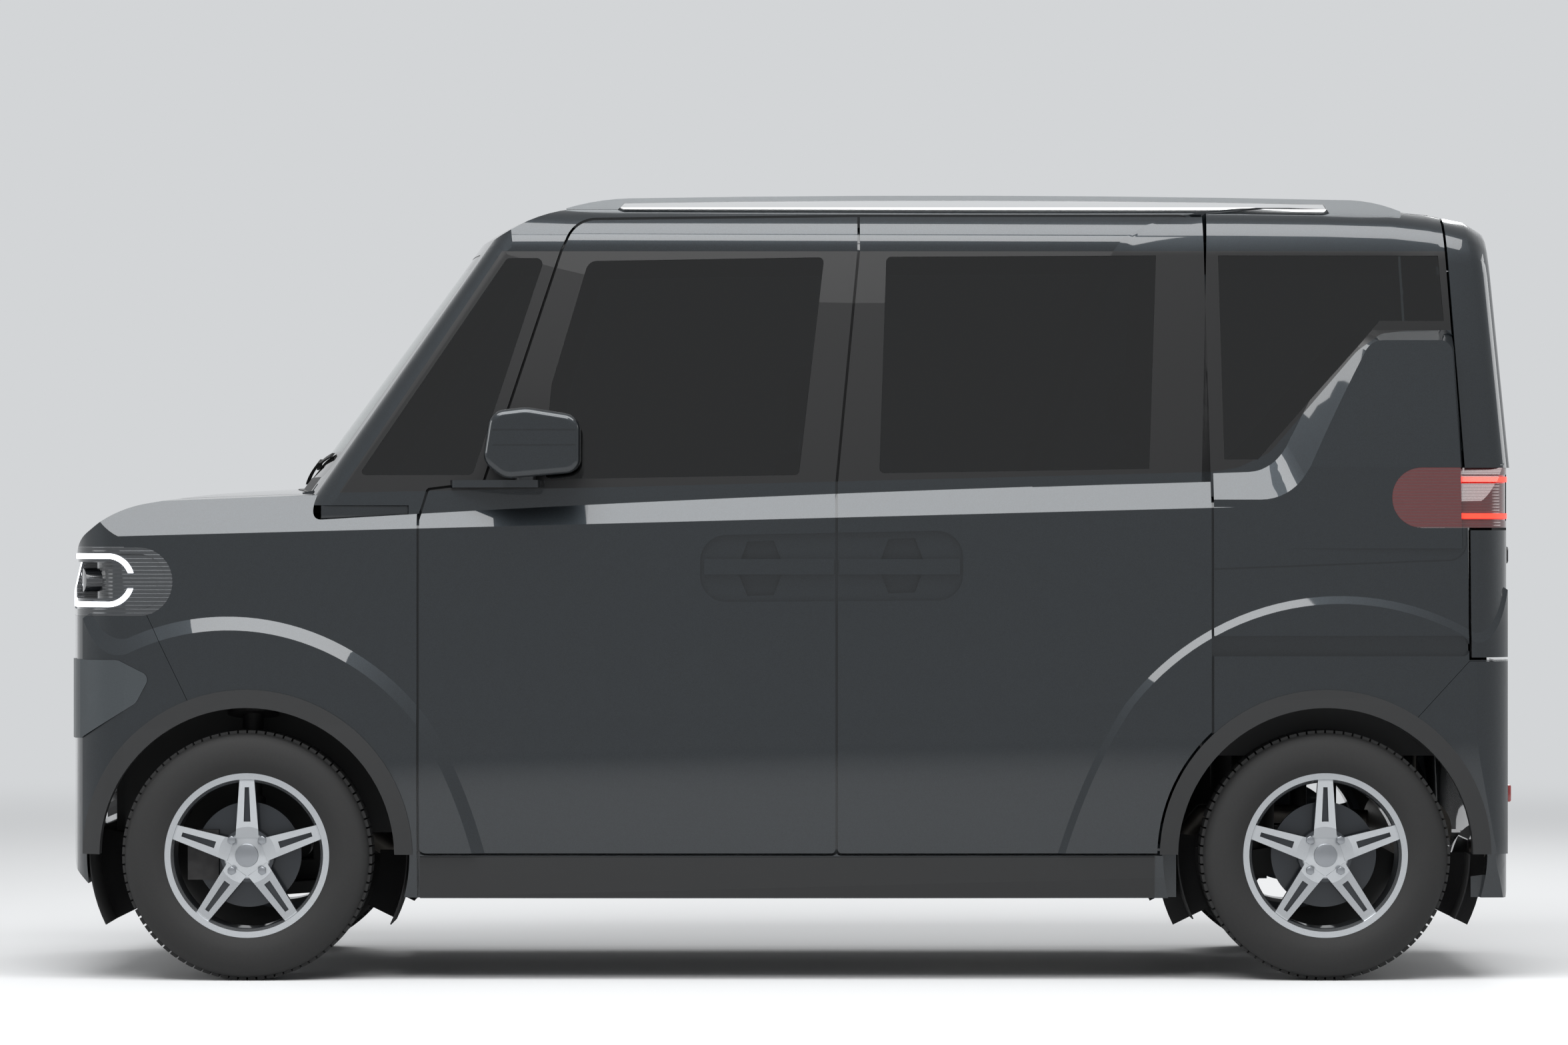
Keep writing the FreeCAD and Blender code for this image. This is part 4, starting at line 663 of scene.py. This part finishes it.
def bar(start, end, radius, sides=16):
    """A round bar from one point to another."""
    start, end = Vector(start), Vector(end)
    bpy.ops.mesh.primitive_cylinder_add(
        vertices=sides, radius=radius, depth=(end - start).length, location=(start + end) / 2,
        rotation=(end - start).to_track_quat("Z", "Y").to_euler())
    piece = bpy.context.active_object
    bpy.ops.object.transform_apply(location=True, rotation=True, scale=True)
    return piece


def finished(piece, name, body, made, instead_of=None):
    """Names a piece, smooths it, gives it its finish, and fixes it to its body."""
    settle(piece)
    piece.name = name
    dress(piece, body, made, instead_of)


def stand(x, y, half, node):
    """The box and the rail under one seat, on the floor that its node stands on."""
    low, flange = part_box(node)[0][2], 0.031
    return [block((x - 0.385, y - half + flange, low), (x - 0.065, y + half - flange, 0.585), 0.012),
            block((x - 0.470, y - half, 0.575), (x - 0.020, y + half, 0.612), 0.012)]


parts = []
for y in (-seat_y, seat_y):
    parts += stand(seat_x, y, 0.236, "front_seats")
    for edge in (y - 0.236, y + 0.236):
        parts.append(block((seat_x - 0.560, edge - 0.010, 0.560),
                           (seat_x - 0.180, edge + 0.010, 0.660), 0.009))
finished(join(parts), "front_seat_bases", "body_shell", grained, "front_seats")
finished(join(stand(bench_x, 0.0, 0.576, "rear_seat")), "bench_base", "body_shell",
         grained, "rear_seat")
stalks = [bar((x - 0.588, y + off, 1.200), (x - 0.600, y + off, 1.300), 0.006)
          for x in (seat_x, bench_x) for y in (-seat_y, seat_y) for off in (-0.044, 0.044)]
finished(join(stalks), "headrest_stalks", "body_shell", zinc)

# Dashboard fittings: a blank screen on the middle, an instrument panel under the hood, and four air
# vents with vanes. All are moulded in gloss black and clipped into the soft dashboard.
glossy = mottled("polycarbonate in piano black", "#050506", "#0b0b0c", 200, {
    "Roughness": 0.08, "Coat Weight": 0.5})
satin_metal = mottled("satin chromed ABS", "#9a9c9e", "#b9bbbd", 20, {
    "Metallic": 1.0, "Roughness": 0.3})


def leaning(piece, degrees, x, y, z):
    """Leans a piece about the car's Y axis, and moves it to its place."""
    piece.data.transform(Matrix.Translation((x, y, z))
                         @ Matrix.Rotation(math.radians(degrees), 4, "Y"))
    return piece


screen = join([block((-0.007, -0.118, -0.066), (0.007, 0.118, 0.066), 0.005),
               block((-0.022, -0.060, -0.030), (0.0, 0.060, 0.030))])
finished(leaning(screen, 37.0, 0.690, 0.0, 1.030), "centre_screen", "body_shell",
         glossy)
gauge = block((-0.005, -0.120, -0.038), (0.005, 0.120, 0.038))
finished(leaning(gauge, 34.0, 0.724, -0.340, 1.062), "instrument_panel", "body_shell",
         glossy)
parts = [block((-0.010, -0.052, -0.026), (0.014, 0.052, 0.026), 0.006)]
for row in range(5):
    z = -0.018 + 0.009 * row
    parts.append(block((-0.014, -0.044, z - 0.0012), (-0.006, 0.044, z + 0.0012), 0.0008))
parts.append(block((-0.016, -0.004, -0.020), (-0.006, 0.004, 0.020), 0.0012))
vent = settle(leaning(join(parts), 37.0, 0.672, 0.0, 0.982))
for name, y in (("vent_far_left", 0.540), ("vent_left", 0.190), ("vent_right", -0.165),
                ("vent_far_right", -0.565)):
    dress(copy_to(vent, name, Matrix.Translation((0, y, 0))), "body_shell", glossy)
bpy.data.objects.remove(vent)
lever = join([bar((0.745, -0.040, 0.880), (0.690, -0.040, 0.905), 0.007),
              block((0.662, -0.058, 0.880), (0.696, -0.022, 0.940), 0.010, 3)])
finished(lever, "gear_lever", "body_shell", satin_metal)

# Door linings: each door has a moulded inner panel with an armrest, a pull cup and a pocket, and a
# round loudspeaker grille in front. They are clipped to the inner sheet of the door.
flip = Matrix.Scale(-1, 4, (0, 1, 0))
lining, tree, shader = material("moulded polypropylene, leather grain", {
    "Base Color": "#303134", "Roughness": 0.68})
cells = texture(tree, "Voronoi", 3.0, feature="DISTANCE_TO_EDGE")["Distance"]
bumped(tree, shader, cells, 0.4, 0.0006)


def door_lining(name, x0, x1, body, speaker):
    """The lining of one left door, against the door's inner face, and its mirror on the right."""
    inner = 0.6595
    parts = [block((x0, inner - 0.009, 0.360), (x1, inner, 1.060)),
             block((x0 + 0.10, inner - 0.052, 0.690), (x1 - 0.14, inner - 0.004, 0.742), 0.014, 3),
             block((x0 + 0.06, inner - 0.016, 0.820), (x1 - 0.06, inner - 0.004, 1.000), 0.010),
             block((x0 + 0.08, inner - 0.040, 0.385), (x1 - 0.28, inner - 0.004, 0.520), 0.012, 3)]
    latch = block((x1 - 0.170, inner - 0.030, 0.880), (x1 - 0.060, inner - 0.012, 0.900), 0.006, 3)
    if speaker:
        bpy.ops.mesh.primitive_cylinder_add(vertices=48, radius=0.082, depth=0.012, location=(
            x1 - 0.150, inner - 0.010, 0.455), rotation=(math.radians(90), 0, 0))
        grille = bpy.context.active_object
        pick(edit(grille), "faces", lambda f: abs(f.normal.z) > 0.9)
        bpy.ops.mesh.inset(thickness=0.008, depth=-0.003)
        bpy.ops.object.mode_set(mode="OBJECT")
        parts.append(grille)
    for part in parts:
        part.data.materials.append(lining)
    latch.data.materials.append(satin_metal)
    made = settle(join(parts + [latch]))
    made.name = f"{name}_left"
    for piece, side in ((made, "left"), (copy_to(made, f"{name}_right", flip), "right")):
        dress(piece, body.format(side))


door_lining("front_door_lining", -0.050, 0.760, "front_door_{}_assembly", True)
door_lining("slide_door_lining", -0.800, -0.180, "body_shell", False)

# Wheel arch liners: two moulded felt-faced shells in each arch, one before the wheel and one behind
# it, with an end wall on the inner side. They are clipped behind the lip of the arch.
liner_outer, wall_inner_radius = 0.655, 0.292
felt, tree, shader = material("pressed fibre liner", {"Roughness": 0.95})
fibre = texture(tree, "Noise", 3.0, {"Detail": 5.0})[0]
feed(tree, shader, {"Base Color": blend(tree, fibre, "#0c0c0d", "#1b1b1c")})
bumped(tree, shader, fibre, 0.4, 0.0008)


def liner(radius, inner, low, high, wall):
    """An arc of liner about the origin, between two angles from straight ahead, as one piece."""
    def outside(face):
        centre = face.calc_center_median()
        angle = math.degrees(math.atan2(-centre.y, centre.x))
        return not low < angle < high
    bpy.ops.mesh.primitive_cylinder_add(vertices=96, radius=radius, depth=liner_outer - inner,
                                        end_fill_type="NOTHING")
    shell = bpy.context.active_object
    shell.data.transform(Matrix.Translation((0, 0, -(inner + liner_outer) / 2)))
    pick(edit(shell), "faces", outside)
    bpy.ops.mesh.delete(type="FACE")
    bpy.ops.object.mode_set(mode="OBJECT")
    bpy.ops.mesh.primitive_circle_add(vertices=96, radius=radius + wall, fill_type="NGON")
    ring = bpy.context.active_object
    ring.data.transform(Matrix.Translation((0, 0, -inner)))
    edit(ring)
    bpy.ops.mesh.select_all(action="SELECT")
    bpy.ops.mesh.inset(thickness=radius + wall - wall_inner_radius)
    pick(bmesh.from_edit_mesh(ring.data), "faces", lambda f: len(f.verts) > 4 or outside(f))
    bpy.ops.mesh.delete(type="FACE")
    bpy.ops.object.mode_set(mode="OBJECT")
    whole = join([shell, ring])
    whole.data.transform(Matrix.Rotation(math.radians(90), 4, "X"))
    return settle(whole, 40.0, ("SOLIDIFY", {"thickness": 0.003, "offset": 0.0}))


for end, radius, inner, wall in (("front", 0.3675, 0.4010, 0.0), ("rear", 0.3385, 0.5340, 0.045)):
    for part, low, high in (("ahead", -8.0, 26.0), ("behind", 154.0, 188.0)):
        first = liner(radius, inner, low, high, wall)
        for side, sign in (("left", 1), ("right", -1)):
            made = copy_to(first, f"liner_{end}_{part}_{side}", Matrix.Translation(
                (axles[end], 0, wheel_z)) @ Matrix.Scale(sign, 4, (0, 1, 0)))
            dress(made, "body_shell", felt)
        bpy.data.objects.remove(first)


# Rear corners of the glasshouse: pressed steel in body paint and gloss black round fixed privacy
# glass. They close the side, roof and tailgate where the solids stop short of the real corner. One
# skin is swept from the door round to the tailgate, then parted along the shut lines.
def swept_skin(section, path):
    """One open sheet, made by moving a line of points along a path."""
    def moves(points):
        return [{"value": [b - a for a, b in zip(last, point)]}
                for last, point in zip(points, points[1:])]
    bpy.ops.mesh.primitive_plane_add(size=0.01)
    sheet = bpy.context.active_object
    edit(sheet)
    bpy.ops.mesh.select_mode(type="VERT")
    bpy.ops.mesh.select_all(action="SELECT")
    bpy.ops.mesh.merge(type="CENTER")
    bpy.ops.mesh.select_all(action="SELECT")
    bpy.ops.transform.translate(value=section[0])
    for move in moves(section):
        bpy.ops.mesh.extrude_vertices_move(TRANSFORM_OT_translate=move)
    bpy.ops.mesh.select_all(action="SELECT")
    for move in moves(path):
        bpy.ops.mesh.extrude_edges_move(TRANSFORM_OT_translate=move)
    bpy.ops.mesh.select_all(action="SELECT")
    mesh = bmesh.from_edit_mesh(sheet.data)
    if sum(face.normal.y for face in mesh.faces) < 0:
        bpy.ops.mesh.flip_normals()
    bpy.ops.object.mode_set(mode="OBJECT")
    return sheet


def part_skin(sheet, name, cuts):
    """A copy of a sheet, kept only on the positive side of each plane."""
    made = copy_to(sheet, name, Matrix())
    edit(made)
    for place, normal in cuts:
        bpy.ops.mesh.select_all(action="SELECT")
        bpy.ops.mesh.bisect(plane_co=place, plane_no=normal, clear_inner=True)
    bpy.ops.object.mode_set(mode="OBJECT")
    return made


def glaze(piece, axis, corners):
    """Cuts a window, given by its corners in the side or rear view, out of a piece's skin."""
    edit(piece)
    other = "x" if axis == "y" else "y"
    edges = list(zip(corners, corners[1:] + corners[:1]))
    for a, b in edges:
        normal = (b[1] - a[1], 0, a[0] - b[0]) if other == "x" else (0, b[1] - a[1], a[0] - b[0])
        place = (a[0], 0, a[1]) if other == "x" else (0, a[0], a[1])
        bpy.ops.mesh.select_all(action="SELECT")
        bpy.ops.mesh.bisect(plane_co=place, plane_no=normal)

    def within(face):
        centre = face.calc_center_median()
        u, v = getattr(centre, other), centre.z
        crossings = sum((a[1] > v) != (b[1] > v)
                        and u < a[0] + (v - a[1]) * (b[0] - a[0]) / (b[1] - a[1]) for a, b in edges)
        return abs(getattr(face.normal, axis)) >= 0.5 and crossings % 2 == 1
    bpy.ops.mesh.select_mode(type="FACE")
    pick(bmesh.from_edit_mesh(piece.data), "faces", within)
    bpy.ops.mesh.separate(type="SELECTED")
    bpy.ops.object.mode_set(mode="OBJECT")
    return [one for one in bpy.context.selected_objects if one is not piece][0]


belt_z, side_lean, skin_gap, corner_radius = 1.195, 0.0911, 0.0095, 0.052
line = [(0.6940, 1.1200), (0.6670, 1.4100), (0.6405, 1.6900), (0.6340, 1.7200), (0.6190, 1.7520),
        (0.5950, 1.7760), (0.5490, 1.7930), (0.4400, 1.7985), (0.3300, 1.8015)]
section = [(-0.400 + (z - belt_z) * side_lean, y + skin_gap, z) for y, z in line]
path = [(-0.400, 0.0095, 0), (-0.600, 0.0079, 0), (-0.850, 0.0050, 0), (-1.100, 0.0010, 0),
        (-1.300, -0.0032, -0.002), (-1.454, -0.0065, -0.006), (-1.543, -0.0089, -0.015)]
for turn in (0, 18, 36, 54, 72, 90):
    slope = math.radians(turn)
    path.append((-1.632 - corner_radius * math.sin(slope),
                 -0.0110 - corner_radius * (1 - math.cos(slope)), -0.033 - 0.030 * math.sin(slope)))
path.append((-1.6885, -0.300, -0.066))
skin = swept_skin(section, path)
solids_end = ((-3.009, 0, 0), (-0.27564, 0.96126, 0))
door_rear = ((-0.967, 0, 1.690), (0.510, 0, -0.013))
side_front = ((-0.973, 0, 1.690), (-0.510, 0, -0.013))
side_rear = ((-1.528, 0, 1.690), (0.500, 0, -0.036))
gate_front = ((-1.534, 0, 1.690), (-0.500, 0, 0.036))
roof_seam = ((0, 0.543, 0), (0, 1, 0))
slide_window = [(-0.230, 1.677), (-0.856, 1.680), (-0.838, 1.184), (-0.213, 1.174)]
rear_window = [(-1.000, 1.680), (-1.512, 1.680), (-1.524, 1.528), (-1.375, 1.528),
               (-1.090, 1.206), (-1.012, 1.206)]
backlight = [(-0.572, 1.236), (0.572, 1.236), (0.534, 1.668), (-0.534, 1.668)]
zones = (
    ("slide_door_corner", [solids_end, door_rear, ((0, 0, 1.771), (0, 0, -1))], "y", slide_window,
     "body_shell", band_paint),
    ("roof_side_corner", [solids_end, door_rear, ((0, 0, 1.777), (0, 0, 1)), roof_seam],
     None, None, "body_shell", band_paint),
    ("quarter_corner", [solids_end, side_front, side_rear, roof_seam], "y", rear_window,
     "body_shell", band_paint),
    ("roof_corner", [solids_end, side_rear, ((0, 0.537, 0), (0, -1, 0)), ((0, 0, 1.700), (0, 0, 1))],
     None, None, "body_shell", body_paint),
    ("tailgate_corner", [solids_end, gate_front, ((0, 0, 1.187), (0, 0, 1))], "x", backlight,
     "tailgate_assembly", body_paint),
)
for name, cuts, axis, window, body, made in zones:
    panel = part_skin(skin, f"{name}_left", cuts)
    found = [(panel, made, "body_paint", 0.009, name)]
    if window:
        pane = glaze(panel, axis, window)
        pane.data.transform(Matrix.Translation((0, -0.002, 0) if axis == "y" else (0.002, 0, 0)))
        found.append((pane, privacy, "dark_glass", 0.0045, name.replace("corner", "pane")))
    for piece, coating, slot, thick, called in found:
        settle(piece, 40.0, ("SOLIDIFY", {"thickness": thick, "offset": -1.0}))
        piece.name = f"{called}_left"
        for half in (piece, copy_to(piece, f"{called}_right", flip)):
            dress(half, body, coating)
bpy.data.objects.remove(skin)


# Tail fittings: red acrylic reflectors on the bumper's corners, a smoked high brake lamp over the
# rear window, and a gloss black grip bar across the tailgate. Each is pressed onto its panel.
def rear_face(node, y, z):
    """How far back a CAD node reaches at one place in the rear view."""
    hit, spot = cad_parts[node].ray_cast(Vector((-3.0, y, z)), Vector((1, 0, 0)))[:2]
    assert hit, f"{node} is not met at {y}, {z}"
    return spot.x


reflector_red = material("red acrylic reflector", {
    "Base Color": "#8e1512", "Roughness": 0.15, "Coat Weight": 1.0})[0]
for side, y in (("left", 0.560), ("right", -0.560)):
    back = rear_face("rear_bumper", y, 0.430)
    reflector = block((back - 0.007, y - 0.060, 0.410), (back + 0.006, y + 0.060, 0.450))
    finished(reflector, f"rear_reflector_{side}", "body_shell", reflector_red)
back = rear_face("tailgate", 0.0, 0.985)
grip = join([block((back - 0.016, -0.330, 0.962), (back + 0.006, 0.330, 1.004), 0.007, 3),
             block((back - 0.022, -0.075, 0.955), (back - 0.004, 0.075, 0.972), 0.004, 3)])
finished(grip, "tailgate_grip", "tailgate_assembly", glossy)
back = rear_face("tailgate", 0.0, 1.700)
lamp = block((back - 0.010, -0.120, 1.690), (back + 0.012, 0.120, 1.710))
finished(lamp, "high_brake_lamp", "tailgate_assembly", red_lens)

# Wing corner fillers: painted steel gussets that close the slot between the wing's top edge and the
# foot of the screen pillar on each side. They are bolted behind both panels.
gusset = settle(block((0.872, 0.600, 1.066), (1.080, 0.6905, 1.1020), 0.003))
for side, matrix in (("left", Matrix()), ("right", flip)):
    dress(copy_to(gusset, f"wing_gusset_{side}", matrix), "body_shell", body_paint)
bpy.data.objects.remove(gusset)
